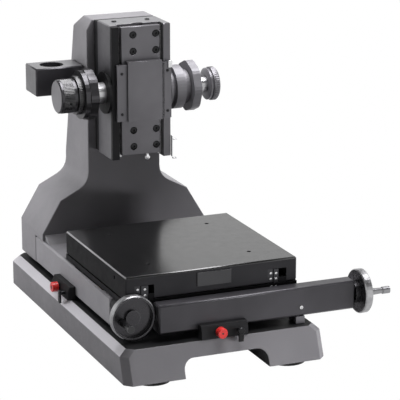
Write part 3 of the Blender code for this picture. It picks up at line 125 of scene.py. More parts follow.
def noise(tree, scale, detail=3.0, stretch=None):
    """Noise that is fixed to the piece; stretch squeezes it along each axis."""
    place = tree.nodes.new("ShaderNodeTexCoord").outputs["Object"]
    if stretch:
        mapping = tree.nodes.new("ShaderNodeMapping")
        mapping.inputs["Scale"].default_value = stretch
        tree.links.new(place, mapping.inputs["Vector"])
        place = mapping.outputs["Vector"]
    texture = add_node(tree, "ShaderNodeTexNoise", Scale=scale, Detail=detail, Roughness=0.6)
    tree.links.new(place, texture.inputs["Vector"])
    return texture.outputs["Fac"]


def spread(tree, source, low, high, start=0.3, end=0.7):
    """Maps the source's range from start to end onto low to high."""
    ranged = tree.nodes.new("ShaderNodeMapRange")
    ranged.inputs["From Min"].default_value = start
    ranged.inputs["From Max"].default_value = end
    ranged.inputs["To Min"].default_value = low
    ranged.inputs["To Max"].default_value = high
    tree.links.new(source, ranged.inputs["Value"])
    return ranged.outputs["Result"]


def tint(tree, source, dark, light):
    """Turns the middle of the source's range into a passage from dark to light."""
    ramp = tree.nodes.new("ShaderNodeValToRGB")
    for element, position, colour in zip(ramp.color_ramp.elements, (0.35, 0.65), (dark, light)):
        element.position = position
        element.color = (*colour, 1)
    tree.links.new(source, ramp.inputs["Fac"])
    return ramp.outputs["Color"]


def edge_wear_and_highlight(tree, colour, bare_and_highlight, width, share):
    """Mixes in a share of a lighter edge colour where the surface bends sharply: wear on the edges,
    and a painted highlight along them.
    """
    bevel = tree.nodes.new("ShaderNodeBevel")
    bevel.samples = 4
    bevel.inputs["Radius"].default_value = width
    flat = tree.nodes.new("ShaderNodeNewGeometry").outputs["Normal"]
    likeness = tree.nodes.new("ShaderNodeVectorMath")
    likeness.operation = "DOT_PRODUCT"
    tree.links.new(bevel.outputs["Normal"], likeness.inputs[0])
    tree.links.new(flat, likeness.inputs[1])
    mask = spread(tree, likeness.outputs["Value"], share, 0.0, start=0.80, end=0.97)
    mix = tree.nodes.new("ShaderNodeMix")
    mix.data_type = "RGBA"
    tree.links.new(mask, mix.inputs["Factor"])
    tree.links.new(colour, mix.inputs["A"])
    mix.inputs["B"].default_value = (*bare_and_highlight, 1)
    return mix.outputs["Result"]


def bumped(tree, shader, *heights):
    """Adds fine relief: each height is a (source, depth in metres)."""
    normal = None
    for source, depth in heights:
        bump = tree.nodes.new("ShaderNodeBump")
        bump.inputs["Strength"].default_value = 1.0
        bump.inputs["Distance"].default_value = depth
        tree.links.new(source, bump.inputs["Height"])
        if normal:
            tree.links.new(normal, bump.inputs["Normal"])
        normal = bump.outputs["Normal"]
    tree.links.new(normal, shader.inputs["Normal"])


def cast_paint(name, dark, light):
    """Matt paint over a casting, with a fine grain, soft waves and lighter edges that are wear and
    a painted edge highlight.
    """
    material, tree, shader = new_material(name)
    colour = tint(tree, noise(tree, scale=9.0, detail=2.0), dark, light)
    edged = edge_wear_and_highlight(tree, colour, bare_and_highlight=(0.30, 0.30, 0.31), width=0.0012, share=0.45)
    tree.links.new(edged, shader.inputs["Base Color"])
    shader.inputs["Metallic"].default_value = 0.0
    shader.inputs["Specular IOR Level"].default_value = 0.28
    tree.links.new(spread(tree, noise(tree, scale=60.0), 0.36, 0.46), shader.inputs["Roughness"])
    grain, waves = noise(tree, scale=1400.0, detail=2.0), noise(tree, scale=120.0, detail=2.0)
    bumped(tree, shader, (grain, 0.00007), (waves, 0.00010))
    return material


def anodised(name, dark, light, bare_and_highlight, rough, metallic, gloss=0.5, relief=0.000004):
    """A thin coloured skin on metal, with lighter edges that are wear and a painted edge highlight.
    """
    material, tree, shader = new_material(name)
    shader.inputs["Specular IOR Level"].default_value = gloss
    colour = tint(tree, noise(tree, scale=14.0, detail=2.0), dark, light)
    edged = edge_wear_and_highlight(tree, colour, bare_and_highlight, width=0.0005, share=0.5)
    tree.links.new(edged, shader.inputs["Base Color"])
    shader.inputs["Metallic"].default_value = metallic
    tree.links.new(spread(tree, noise(tree, scale=90.0), *rough), shader.inputs["Roughness"])
    bumped(tree, shader, (noise(tree, scale=900.0, detail=1.0), relief))
    return material


def machined(name, dark, light, rough, stretch=(1, 1, 1), relief=0.00001):
    """Bare metal with fine tool lines; stretch squeezes the grain across the lines."""
    material, tree, shader = new_material(name)
    lines = noise(tree, scale=120.0, detail=4.0, stretch=stretch)
    tree.links.new(tint(tree, lines, dark, light), shader.inputs["Base Color"])
    shader.inputs["Metallic"].default_value = 1.0
    tree.links.new(spread(tree, lines, *rough), shader.inputs["Roughness"])
    bumped(tree, shader, (lines, relief))
    return material


def rubber_look():
    material, tree, shader = new_material("rubber_look")
    colour = tint(tree, noise(tree, scale=70.0), (0.012, 0.012, 0.012), (0.024, 0.024, 0.024))
    tree.links.new(colour, shader.inputs["Base Color"])
    tree.links.new(spread(tree, noise(tree, scale=300.0), 0.72, 0.9), shader.inputs["Roughness"])
    bumped(tree, shader, (noise(tree, scale=2500.0), 0.00006))
    return material


def plastic_look():
    material, tree, shader = new_material("red_plastic_look")
    colour = tint(tree, noise(tree, scale=200.0), (0.56, 0.018, 0.016), (0.66, 0.03, 0.026))
    tree.links.new(colour, shader.inputs["Base Color"])
    tree.links.new(spread(tree, noise(tree, scale=500.0), 0.24, 0.34), shader.inputs["Roughness"])
    shader.inputs["Coat Weight"].default_value = 0.3
    bumped(tree, shader, (noise(tree, scale=1800.0), 0.00001))
    return material


# The look of each slot
LOOKS = {
    "grey_paint": cast_paint("grey_paint_look", (0.172, 0.169, 0.178), (0.203, 0.199, 0.209)),
    "black_anodised": anodised(
        "black_anodised_look", (0.009, 0.009, 0.010), (0.014, 0.014, 0.016),
        bare_and_highlight=(0.30, 0.30, 0.31), rough=(0.24, 0.34), metallic=0.1, gloss=0.8),
    "dark_anodised": anodised(
        "dark_anodised_look", (0.047, 0.0455, 0.0505), (0.062, 0.060, 0.0665),
        bare_and_highlight=(0.22, 0.22, 0.23), rough=(0.32, 0.42), metallic=0.5),
    "grey_anodised": anodised(
        "grey_anodised_look", (0.137, 0.134, 0.144), (0.168, 0.164, 0.176),
        bare_and_highlight=(0.34, 0.34, 0.35), rough=(0.34, 0.44), metallic=0.75),
    "black_steel": anodised(
        "black_steel_look", (0.014, 0.014, 0.015), (0.026, 0.026, 0.028),
        bare_and_highlight=(0.16, 0.16, 0.16), rough=(0.25, 0.38), metallic=0.7),
    "bright_steel": machined(
        "bright_steel_look", (0.62, 0.62, 0.63), (0.74, 0.74, 0.75), rough=(0.12, 0.22)),
    "ground_steel": machined(
        "ground_steel_look", (0.40, 0.40, 0.41), (0.56, 0.56, 0.57),
        rough=(0.22, 0.36), stretch=(1, 30, 30)),
    "bronze": machined(
        "bronze_look", (0.46, 0.29, 0.12), (0.60, 0.40, 0.19),
        rough=(0.28, 0.42), stretch=(1, 12, 12)),
    "rubber": rubber_look(),
    "red_plastic": plastic_look(),
}

# Looks of single pieces and faces
DARK_RAIL = machined(
    "dark_rail_look", (0.045, 0.045, 0.048), (0.075, 0.075, 0.08),
    rough=(0.26, 0.38), stretch=(30, 1, 30))
SATIN_HANDLE = machined(
    "satin_handle_look", (0.26, 0.26, 0.27), (0.36, 0.36, 0.37),
    rough=(0.30, 0.40), stretch=(1, 24, 24))
# A much lighter copy of the grey paint: a painted highlight for the base's side chamfers
PAINTED_CHAMFER_HIGHLIGHT = cast_paint("painted_chamfer_highlight_look", (0.38, 0.374, 0.392), (0.44, 0.433, 0.452))
KNOB_BLACK = anodised(
    "knob_black_look", (0.060, 0.059, 0.063), (0.072, 0.070, 0.075),
    bare_and_highlight=(0.36, 0.36, 0.37), rough=(0.30, 0.34), metallic=0.9)
KNOB_END = anodised(
    "knob_end_look", (0.195, 0.191, 0.203), (0.228, 0.224, 0.237),
    bare_and_highlight=(0.36, 0.36, 0.37), rough=(0.34, 0.40), metallic=0.6)
WHEEL_RIM = machined(
    "wheel_rim_look", (0.32, 0.32, 0.33), (0.46, 0.46, 0.47),
    rough=(0.28, 0.40), relief=0.000003)
WHEEL_BLACK = anodised(
    "wheel_black_look", (0.055, 0.054, 0.058), (0.070, 0.068, 0.073),
    bare_and_highlight=(0.45, 0.45, 0.46), rough=(0.22, 0.32), metallic=0.9)
HUB_METAL = machined(
    "hub_metal_look", (0.50, 0.50, 0.51), (0.66, 0.66, 0.67),
    rough=(0.28, 0.38), stretch=(1, 24, 24))
# Matt black for black parts; on the base's top it is painted shade
MATT_BLACK_AND_SHADE = anodised(
    "matt_black_and_shade_look", (0.008, 0.008, 0.009), (0.014, 0.014, 0.015),
    bare_and_highlight=(0.05, 0.05, 0.05), rough=(0.5, 0.6), metallic=0.0, gloss=0.25)
TABLE_LAPPED = anodised(
    "table_lapped_look", (0.0020, 0.0020, 0.0022), (0.0034, 0.0034, 0.0036),
    bare_and_highlight=(0.008, 0.008, 0.008), rough=(0.18, 0.23), metallic=0.0, gloss=1.0, relief=0.0000008)
TABLE_SIDE = anodised(
    "table_side_look", (0.019, 0.0187, 0.0208), (0.026, 0.0256, 0.0284),
    bare_and_highlight=(0.04, 0.04, 0.04), rough=(0.36, 0.46), metallic=0.0, gloss=0.22)
# A darker, duller copy of the table side's black: painted shade for the table's left face, the
# carriage under it and the left clamp's left face
PAINTED_SHADE_FLANK = anodised(
    "painted_shade_flank_look", (0.006, 0.006, 0.0066), (0.009, 0.009, 0.0098),
    bare_and_highlight=(0.03, 0.03, 0.03), rough=(0.50, 0.60), metallic=0.0, gloss=0.08)
# Darker and lighter copies of the grey paint: painted shade on the base casting and painted light
# on the deck
SHADED_BASE_PAINT = cast_paint("painted_shade_base_look", (0.136, 0.134, 0.141), (0.162, 0.159, 0.167))
LIT_DECK_PAINT = cast_paint("painted_light_deck_look", (0.196, 0.193, 0.203), (0.230, 0.226, 0.238))
# A darker copy of the slide body's look: painted shade for its left faces
Z_SHADED_SIDE = anodised(
    "z_shaded_side_look", (0.100, 0.098, 0.106), (0.122, 0.120, 0.129),
    bare_and_highlight=(0.30, 0.30, 0.31), rough=(0.34, 0.42), metallic=0.5)
# Light grey on the table's left top bevel: a painted highlight along that edge
PAINTED_EDGE_HIGHLIGHT = anodised(
    "painted_edge_highlight_look", (0.20, 0.20, 0.206), (0.25, 0.25, 0.257),
    bare_and_highlight=(0.28, 0.28, 0.28), rough=(0.40, 0.50), metallic=0.3)
MILLED_TOP = machined(
    "milled_top_look", (0.22, 0.22, 0.23), (0.34, 0.34, 0.35),
    rough=(0.34, 0.46), stretch=(30, 1, 1), relief=0.000004)
BALL_LOOK = machined(
    "ball_look", (0.86, 0.86, 0.87), (0.93, 0.93, 0.94),
    rough=(0.42, 0.50), relief=0.000001)
# A lighter copy of the holder's dark anodising: painted light on its top and left faces
HOLDER_LIT_FACES = anodised(
    "holder_lit_faces_look", (0.13, 0.13, 0.135), (0.16, 0.16, 0.166),
    bare_and_highlight=(0.3, 0.3, 0.3), rough=(0.32, 0.42), metallic=0.4)
# A lighter grey than the left knobs' for the right-hand focus drive: painted light for the light
# and reflections these parts catch
DRIVE_LIT_GREY = anodised(
    "drive_lit_grey_look", (0.185, 0.182, 0.194), (0.245, 0.241, 0.257),
    bare_and_highlight=(0.40, 0.40, 0.41), rough=(0.46, 0.54), metallic=0.4, gloss=0.35)
# A still lighter copy: painted light on the left faces of the right-hand drive
DRIVE_LIT_FACE = anodised(
    "drive_lit_face_look", (0.30, 0.296, 0.314), (0.36, 0.355, 0.376),
    bare_and_highlight=(0.40, 0.40, 0.41), rough=(0.40, 0.50), metallic=0.2)
LABEL_BLANK = anodised(
    "label_blank_look", (0.05, 0.05, 0.053), (0.065, 0.065, 0.068),
    bare_and_highlight=(0.3, 0.3, 0.3), rough=(0.28, 0.36), metallic=0.6)
NODE_LOOKS = {
    "y_rail_left_fixed": DARK_RAIL, "y_rail_left_moving": DARK_RAIL,
    "y_rail_right_fixed": DARK_RAIL, "y_rail_right_moving": DARK_RAIL,
    "z_gib_strip": MATT_BLACK_AND_SHADE, "z_mounting_plate": MATT_BLACK_AND_SHADE, "z_stop_pin": BALL_LOOK,
    "front_clamp_body": MATT_BLACK_AND_SHADE, "left_clamp_body": MATT_BLACK_AND_SHADE,
    "beam_post": LOOKS["grey_anodised"], "holder_block": LOOKS["dark_anodised"],
    "fine_knob_left": KNOB_BLACK, "coarse_knob_left": KNOB_BLACK, "focus_hub_left": HUB_METAL,
    # The right-hand drive takes the lighter grey of painted light
    "fine_knob_right": DRIVE_LIT_GREY, "coarse_knob_right": DRIVE_LIT_GREY,
    "focus_hub_right": DRIVE_LIT_GREY, "x_handle": SATIN_HANDLE, "y_bearing_housing": MATT_BLACK_AND_SHADE,
    "x_handwheel": WHEEL_BLACK, "y_handwheel": WHEEL_BLACK, "x_bearing_cap": WHEEL_BLACK,
    # Painted light and shade: the base and deck take shaded and lit copies of one paint, and the
    # carriage takes the painted-shade flank look
    "base_casting": SHADED_BASE_PAINT, "deck_body": LIT_DECK_PAINT, "x_carriage": PAINTED_SHADE_FLANK,
    "top_table": TABLE_LAPPED, "label_plate": LABEL_BLANK,
}


# Pieces that stand in for nodes
def place_piece(name, mesh, slot, body, *nodes):
    """Adds a piece that rides on a body, and stands in for these nodes if there are any."""
    piece = bpy.data.objects.new(name, mesh)
    bpy.context.scene.collection.objects.link(piece)
    look = NODE_LOOKS.get(nodes[0], LOOKS[slot]) if nodes else LOOKS[slot]
    mesh.materials.clear()
    mesh.materials.append(look)
    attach(piece, body)
    if nodes:
        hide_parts(*nodes)
    return piece


def round_edges(piece, width, segments=2, angle=30, harden=True):
    """Rounds the edges that bend by more than the angle, in degrees."""
    edges = piece.modifiers.new("rounded", "BEVEL")
    edges.width = width
    edges.segments = segments
    edges.limit_method = "ANGLE"
    edges.angle_limit = math.radians(angle)
    edges.harden_normals = harden


def clean_mesh(name, node):
    """The node's shape with its flat faces whole again, so that its edges can be rounded."""
    shape = bmesh.new()
    shape.from_mesh(NODES[node].data)
    bmesh.ops.remove_doubles(shape, verts=shape.verts, dist=WELD_DISTANCE)
    bmesh.ops.dissolve_limit(shape, angle_limit=LEVEL_ANGLE, verts=shape.verts, edges=shape.edges)
    if node in CUT_UP:
        wide_faces = [face for face in shape.faces if len(face.verts) > 4]
        bmesh.ops.triangulate(shape, faces=wide_faces)
    points = [tuple(vert.co) for vert in shape.verts]
    index = {vert: number for number, vert in enumerate(shape.verts)}
    faces = [[index[vert] for vert in face.verts] for face in shape.faces]
    shape.free()
    mesh = bpy.data.meshes.new(name)
    mesh.from_pydata(points, [], faces)
    mesh.shade_smooth()
    return mesh


def soften(node, width, segments, angle):
    """Stands a copy of the node with rounded edges in its place."""
    name = node + "_surface"
    piece = place_piece(name, clean_mesh(name, node), SLOT_OF[node], BODY_OF[node], node)
    round_edges(piece, width, segments, angle)
    return piece


for node, part in NODES.items():
    part.data.materials.clear()
    part.data.materials.append(NODE_LOOKS.get(node, LOOKS[SLOT_OF[node]]))

# Width and steps of each rounded edge, and the bend in degrees from which it is rounded
SOFT_EDGES = {
    "base_casting": (0.0009, 2, 25), "deck_body": (0.0008, 2, 40),
    "column_casting": (0.0016, 3, 40), "holder_block": (0.0008, 2, 40),
    "z_body": (0.0006, 2, 40), "z_gib_strip": (0.0004, 2, 40), "z_cover": (0.0005, 2, 40),
    "z_plate_top": (0.0005, 2, 40), "z_plate_bottom": (0.0005, 2, 40),
    "top_table": (0.0003, 1, 40), "beam_housing": (0.0016, 3, 40),
    "beam_bracket": (0.0006, 2, 40), "beam_post": (0.0006, 2, 40),
    "label_plate": (0.0002, 2, 40), "front_clamp_body": (0.0006, 2, 40),
    "left_clamp_body": (0.0006, 2, 40), "z_mounting_plate": (0.0005, 2, 40),
    "front_clamp_lever": (0.0006, 2, 40), "left_clamp_lever": (0.0006, 2, 40),
    "seat_plate": (0.0006, 2, 40),
}
SURFACES = {node: soften(node, *edges) for node, edges in SOFT_EDGES.items()}


def face_look(piece, look, chosen):
    """Gives the faces that the test picks another look."""
    piece.data.materials.append(look)
    for face in piece.data.polygons:
        if chosen(face.normal, face.center):
            face.material_index = len(piece.data.materials) - 1


def faces_left(normal, centre):
    return normal.x < -STRAIGHT


def faces_up(normal, centre):
    return normal.z > STRAIGHT


def is_side(normal, centre):
    return normal.z < SLOPING


def is_left_slope(normal, centre):
    return SLOPING < normal.z < STRAIGHT and normal.x < -SLOPING


def is_side_chamfer(normal, centre):
    return SLOPING < normal.z < STRAIGHT and abs(normal.x) > 0.5


def is_left_end(normal, centre):
    return normal.x < -0.5


def is_x_rim(normal, centre):
    axis = JOINT_PLACES["x_wheel_turn"]
    reach = math.hypot(centre.y - axis.y, centre.z - axis.z)
    return abs(normal.x) < WHEEL_END and reach > RIM_REACH


def is_y_rim(normal, centre):
    axis = JOINT_PLACES["y_wheel_turn"]
    reach = math.hypot(centre.x - axis.x, centre.z - axis.z)
    return abs(normal.y) < WHEEL_END and reach > RIM_REACH


def is_hub_flange(normal, centre):
    return math.hypot(centre.y - FOCUS_MIDDLE.y, centre.z - FOCUS_MIDDLE.z) > HUB_NECK_REACH


face_look(SURFACES["top_table"], TABLE_SIDE, is_side)
# Painted shade on the table's left face
face_look(SURFACES["top_table"], PAINTED_SHADE_FLANK, faces_left)
# Painted highlight on the table's left top bevel
face_look(SURFACES["top_table"], PAINTED_EDGE_HIGHLIGHT, is_left_slope)
face_look(SURFACES["z_body"], MILLED_TOP, faces_up)
# Painted shade on the slide body's left faces
face_look(SURFACES["z_body"], Z_SHADED_SIDE, faces_left)
# Painted shade: the base's top around the deck in black
face_look(SURFACES["base_casting"], MATT_BLACK_AND_SHADE, faces_up)
# Painted highlight on the base's side chamfers
face_look(SURFACES["base_casting"], PAINTED_CHAMFER_HIGHLIGHT, is_side_chamfer)
# Painted shade on the left clamp's left face
face_look(SURFACES["left_clamp_body"], PAINTED_SHADE_FLANK, faces_left)
# Painted light on the holder's top and left faces
face_look(SURFACES["holder_block"], HOLDER_LIT_FACES,
          lambda normal, centre: faces_up(normal, centre) or faces_left(normal, centre))
face_look(NODES["fine_knob_left"], KNOB_END, faces_left)
# Painted light on the left faces of the right-hand knobs
face_look(NODES["coarse_knob_right"], DRIVE_LIT_FACE, faces_left)
face_look(NODES["fine_knob_right"], DRIVE_LIT_FACE, faces_left)
face_look(NODES["x_handwheel"], WHEEL_RIM, is_x_rim)
face_look(NODES["y_handwheel"], WHEEL_RIM, is_y_rim)
face_look(NODES["focus_hub_left"], MATT_BLACK_AND_SHADE, is_hub_flange)


# Small fittings
def facing(axis):
    """The turn that sends +Z along this axis."""
    return Vector(axis).to_track_quat("Z", "Y").to_matrix().to_4x4()


def turn_outward(mesh):
    """Makes every face of a closed mesh look outward."""
    shape = bmesh.new()
    shape.from_mesh(mesh)
    bmesh.ops.recalc_face_normals(shape, faces=shape.faces)
    shape.to_mesh(mesh)
    shape.free()


def ring_points(radius, level, sides, ribs=0.0):
    """A circle of points; ribs pulls every second one inwards by that much."""
    points = []
    for index in range(sides):
        angle = 2 * math.pi * index / sides
        reach = radius - (ribs if index % 2 else 0.0)
        points.append((reach * math.cos(angle), reach * math.sin(angle), level))
    return points


def ring_faces(low, high, sides):
    """The band of faces between two rings, given by their numbers."""
    faces = []
    for side in range(sides):
        after = (side + 1) % sides
        faces.append((low * sides + side, low * sides + after,
                      high * sides + after, high * sides + side))
    return faces


def lathe_mesh(name, rings, sides, hollow):
    """Skins rings of (radius, level, ribs).

    A hollow one joins its last ring to its first, others get end caps.
    """
    points, faces = [], []
    for radius, level, ribs in rings:
        points += ring_points(radius, level, sides, ribs)
    last = len(rings) - 1
    for ring in range(last):
        faces += ring_faces(ring, ring + 1, sides)
    if hollow:
        faces += ring_faces(last, 0, sides)
    else:
        faces.append(tuple(reversed(range(sides))))
        faces.append(tuple(last * sides + side for side in range(sides)))
    mesh = bpy.data.meshes.new(name)
    mesh.from_pydata(points, [], faces)
    turn_outward(mesh)
    mesh.shade_smooth()
    mesh.set_sharp_from_angle(angle=SHARP_ANGLE)
    return mesh


def lathe(name, rings, sides, place, axis, slot, body, hollow=False, nodes=()):
    """A turned piece with rings of (radius, level), or of (radius, level, ribs) where ribbed."""
    rings = [(*ring, 0.0) if len(ring) == 2 else ring for ring in rings]
    mesh = lathe_mesh(name, rings, sides, hollow)
    mesh.transform(Matrix.Translation(place) @ facing(axis))
    return place_piece(name, mesh, slot, body, *nodes)


def socket_screw(name, radius, height, place, axis, slot, body):
    """A cap screw's head with a rounded edge and a hexagonal socket."""
    sides = 36
    edge = radius * 0.14
    socket_reach = radius * 0.52
    socket_floor = height * 0.35
    half_flat = math.pi / 6
    outer = [(radius, 0.0), (radius, height - edge), (radius - edge * 0.4, height - edge * 0.3),
             (radius - edge, height)]
    points, faces = [], []
    for reach, level in outer:
        points += ring_points(reach, level, sides)
    for level in (height, socket_floor):
        for index in range(sides):
            angle = 2 * math.pi * index / sides
            bend = (angle + half_flat) % (2 * half_flat) - half_flat
            reach = socket_reach * math.cos(half_flat) / math.cos(bend)
            points.append((reach * math.cos(angle), reach * math.sin(angle), level))
    last = len(outer) + 1
    for ring in range(last):
        faces += ring_faces(ring, ring + 1, sides)
    faces.append(tuple(reversed(range(sides))))
    faces.append(tuple(last * sides + side for side in range(sides)))
    mesh = bpy.data.meshes.new(name)
    mesh.from_pydata(points, [], faces)
    mesh.transform(Matrix.Translation(place) @ facing(axis))
    mesh.shade_smooth()
    mesh.set_sharp_from_angle(angle=SHARP_ANGLE)
    return place_piece(name, mesh, slot, body)


def block(name, low, high, slot, body, width=0.0004):
    """A small bevelled block between two corners."""
    xs, ys, zs = zip(low, high)
    corners = [(x, y, z) for z in zs for y in ys for x in xs]
    sides = [(0, 2, 3, 1), (4, 5, 7, 6), (0, 1, 5, 4), (1, 3, 7, 5), (3, 2, 6, 7), (2, 0, 4, 6)]
    mesh = bpy.data.meshes.new(name)
    mesh.from_pydata(corners, [], sides)
    mesh.shade_smooth()
    round_edges(place_piece(name, mesh, slot, body), width)


def fit_z_unit():
    """The socket screws of the two front plates, of the cover and of the roof."""
    plate_front, cover_front, roof_top = 268.8, 258.7, 371.0
    for row, up in enumerate((358.5, 337.3, 234.7, 213.5)):
        for side, across in (("left", -10.7), ("right", 20.2)):
            socket_screw("plate_screw_%s_%d" % (side, row), 0.0042, 0.0032,
                         at(across, plate_front, up), FRONT, "black_steel", "z_stage")
    for row, up in enumerate((311.0, 258.5)):
        for side, across in (("left", -28.5), ("right", 33.5)):
            socket_screw("cover_screw_%s_%d" % (side, row), 0.0019, 0.0008,
                         at(across, cover_front, up), FRONT, "black_steel", "stand")
    for side, across in (("left", -24.0), ("right", 21.2)):
        socket_screw("roof_screw_" + side, 0.0032, 0.0012,
                     at(across, 298.0, roof_top), UP, "black_steel", "stand")


def fit_stop_ball():
    """The slide's lower stop: a steel ball on a short stem."""
    stem_radius, ball_radius, ball_level, steps = 0.0015, 0.0035, 0.0050, 14
    rings = [(stem_radius, 0.0), (stem_radius, 0.0018)]
    for index in range(2, steps):
        angle = math.pi * index / steps
        rings.append((ball_radius * math.sin(angle), ball_level - ball_radius * math.cos(angle)))
    lathe("stop_ball", rings, 32, at(8.8, 268.25, 202.5), DOWN, "bright_steel", "z_stage",
          nodes=("z_stop_pin",))


def fit_focus_drive():
    """The knurled bands of the focus knobs, a set screw and the sleeve behind the right knob."""
    def along(offset):
        return FOCUS_MIDDLE + Vector((offset / 1000, 0, 0))

    fine_band = [(0.0210, 0.0), (0.0218, 0.0004, 0.0003), (0.0218, 0.0146, 0.0003),
                 (0.0210, 0.0150)]
    lathe("fine_knurl_left", fine_band, 144, along(-87.5), LEFT, "black_anodised", "fine_drive",
          hollow=True)
    grooved_band = [(0.0104, 0.0), (0.0194, 0.0), (0.0208, 0.0008), (0.0208, 0.0030),
                    (0.0186, 0.0034), (0.0186, 0.0047), (0.0214, 0.0051),
                    (0.0219, 0.0055, 0.0006), (0.0219, 0.0116, 0.0006), (0.0210, 0.0120),
                    (0.0104, 0.0120)]
    band = lathe("fine_knurl_right", grooved_band, 96, along(97.8), RIGHT, "grey_anodised",
                 "fine_drive", hollow=True)
    # Painted light on the band's left end
    face_look(band, DRIVE_LIT_FACE, is_left_end)
    socket_screw("fine_set_screw", 0.0017, 0.0004, along(-93.5) + Vector((0, -0.0210, -0.0060)),
                 (0, -0.96, -0.27), "black_steel", "fine_drive")
    coarse_band = [(0.0240, 0.0), (0.0248, 0.0004, 0.0003), (0.0248, 0.0058, 0.0003),
                   (0.0240, 0.0062)]
    lathe("coarse_knurl_left", coarse_band, 144, along(-76.6), LEFT, "black_anodised",
          "coarse_drive", hollow=True)
    sleeve = [(0.0093, 0.0), (0.0101, 0.0006), (0.0101, 0.0206), (0.0093, 0.0212)]
    lathe("neck_sleeve", sleeve, 64, along(81.6), RIGHT, "ground_steel", "fine_drive",
          hollow=True)


def fit_rail_ends():
    """The screws in the rails' front ends, as (body, across, along, up)."""
    places = [("y_stage", 77.0, 34.0, 100.2), ("y_stage", 77.0, 34.0, 92.9),
              ("x_stage", 84.0, 34.0, 99.6), ("x_stage", 84.0, 34.0, 92.7),
              ("y_stage", -95.6, 34.0, 100.8), ("y_stage", -95.6, 34.0, 93.4),
              ("x_stage", -86.5, 34.0, 100.2), ("x_stage", -86.5, 34.0, 92.9),
              ("x_stage", 77.3, 32.8, 83.3), ("x_stage", 83.3, 32.8, 83.2)]
    for index, (body, across, along, up) in enumerate(places):
        socket_screw("rail_end_screw_%d" % index, 0.0017, 0.0007, at(across, along, up), FRONT,
                     "bright_steel", body)


def fit_clamp_heads():
    """The round head of the front clamp's lever, and the screws in the clamp knobs' ends."""
    head = [(0.0030, 0.0), (0.0046, 0.0004), (0.0046, 0.0026), (0.0040, 0.0034),
            (0.0016, 0.0038)]
    lathe("front_lever_head", head, 48, at(20.0, -6.6, 47.5), FRONT, "black_steel", "front_lever")
    front_end = JOINT_PLACES["front_knob_turn"].copy()
    front_end.y = min(vert.co.y for vert in NODES["front_clamp_knob"].data.vertices)
    socket_screw("front_knob_screw", 0.0012, 0.0002, front_end, FRONT, "black_steel",
                 BODY_OF["front_clamp_knob"])
    left_end = JOINT_PLACES["left_knob_turn"].copy()
    left_end.x = min(vert.co.x for vert in NODES["left_clamp_knob"].data.vertices)
    socket_screw("left_knob_screw", 0.0026, 0.0002, left_end, LEFT, "black_steel",
                 BODY_OF["left_clamp_knob"])


def fit_slide_stops():
    """A thin black strip beside the cover standing in for its shadow, and the small bright brackets
    at the slide's right.
    """
    # Painted shadow: a black sheet where the cover's raised middle casts shade
    block("painted_shadow_strip", at(25.1, 258.7, 249.6), at(29.5, 259.2, 321.8), "black_anodised",
          "stand", width=0.0001)
    for name, low, high in (
            ("upper", at(34.0, 256.9, 314.5), at(39.6, 258.9, 323.5)),
            ("lower", at(40.4, 262.0, 196.0), at(42.0, 266.0, 224.0)),
            ("foot", at(42.2, 262.0, 193.0), at(47.4, 266.0, 194.6)),
            ("head", at(42.2, 262.0, 218.0), at(48.0, 266.0, 219.6))):
        block("limit_bracket_" + name, low, high, "bright_steel", "stand")


def fit_beam():
    """The screw in the front beam."""
    socket_screw("beam_screw", 0.0024, 0.0012, at(106.8, 9.5, 60.6), FRONT, "bright_steel",
                 "stand")


def fit_foot_ledge():
    """The sloping ledge of the deck in front of the column's foot."""
    across, front, back, low, high = 111.5, 311.0, 329.3, 80.35, 89.2
    section = [(front, low), (back, low), (back, high)]
    points = [at(side, along, up) for side in (-across, across) for along, up in section]
    mesh = bpy.data.meshes.new("foot_ledge")
    mesh.from_pydata(points, [], [(0, 1, 2), (5, 4, 3), (0, 3, 4, 1), (1, 4, 5, 2), (2, 5, 3, 0)])
    turn_outward(mesh)
    round_edges(place_piece("foot_ledge", mesh, "grey_paint", "stand"), 0.0006, harden=False)


fit_z_unit()
fit_stop_ball()
fit_focus_drive()
fit_rail_ends()
fit_clamp_heads()
fit_slide_stops()
fit_beam()
fit_foot_ledge()

# Camera at the photograph's viewing angle
CAMERA_PLACE = (-0.94131, -2.27498, 0.84034)
CAMERA_AIM = (0.37225, 0.88869, -0.26770)
CAMERA_LENS = 180.69
camera_data = bpy.data.cameras.new("camera")
camera_data.sensor_width = 36.0
camera_data.lens = CAMERA_LENS
camera_data.clip_end = 50.0
camera = bpy.data.objects.new("camera", camera_data)
bpy.context.scene.collection.objects.link(camera)
camera.location = CAMERA_PLACE
camera.rotation_euler = Vector(CAMERA_AIM).to_track_quat("-Z", "Y").to_euler()
bpy.context.scene.camera = camera

# Floor and light
FLOOR_REACH = 8.0
# In reflections the floor glows as a painted reflection, passing from the first of these levels to
# the second over this X
FLOOR_LEVELS = (0.04, 0.97)
FLOOR_FADE = (-0.20, 0.05)
# A painted shadow keeps it dark under the object in reflections: it clears over this X and over
# this distance from y = 0
FLOOR_CLEAR_X = (0.08, 0.20)
FLOOR_CLEAR_Y = (0.20, 0.32)
# Behind the object a painted glow sets in over this Y
FLOOR_REAR = (0.45, 0.95)
FLOOR_REAR_GLOW = 0.5
# The world's light on surfaces, and its brightness in reflections near the horizon
WORLD_FILL = 0.05
WORLD_MIRRORED = 1.1
# The brightness of its ceiling in reflections, and the upward share over which it sets in
CEILING_MIRRORED = 0.15
CEILING_FADE = (0.29, 0.50)
LAMP_TINT = (1.0, 0.99, 1.01)


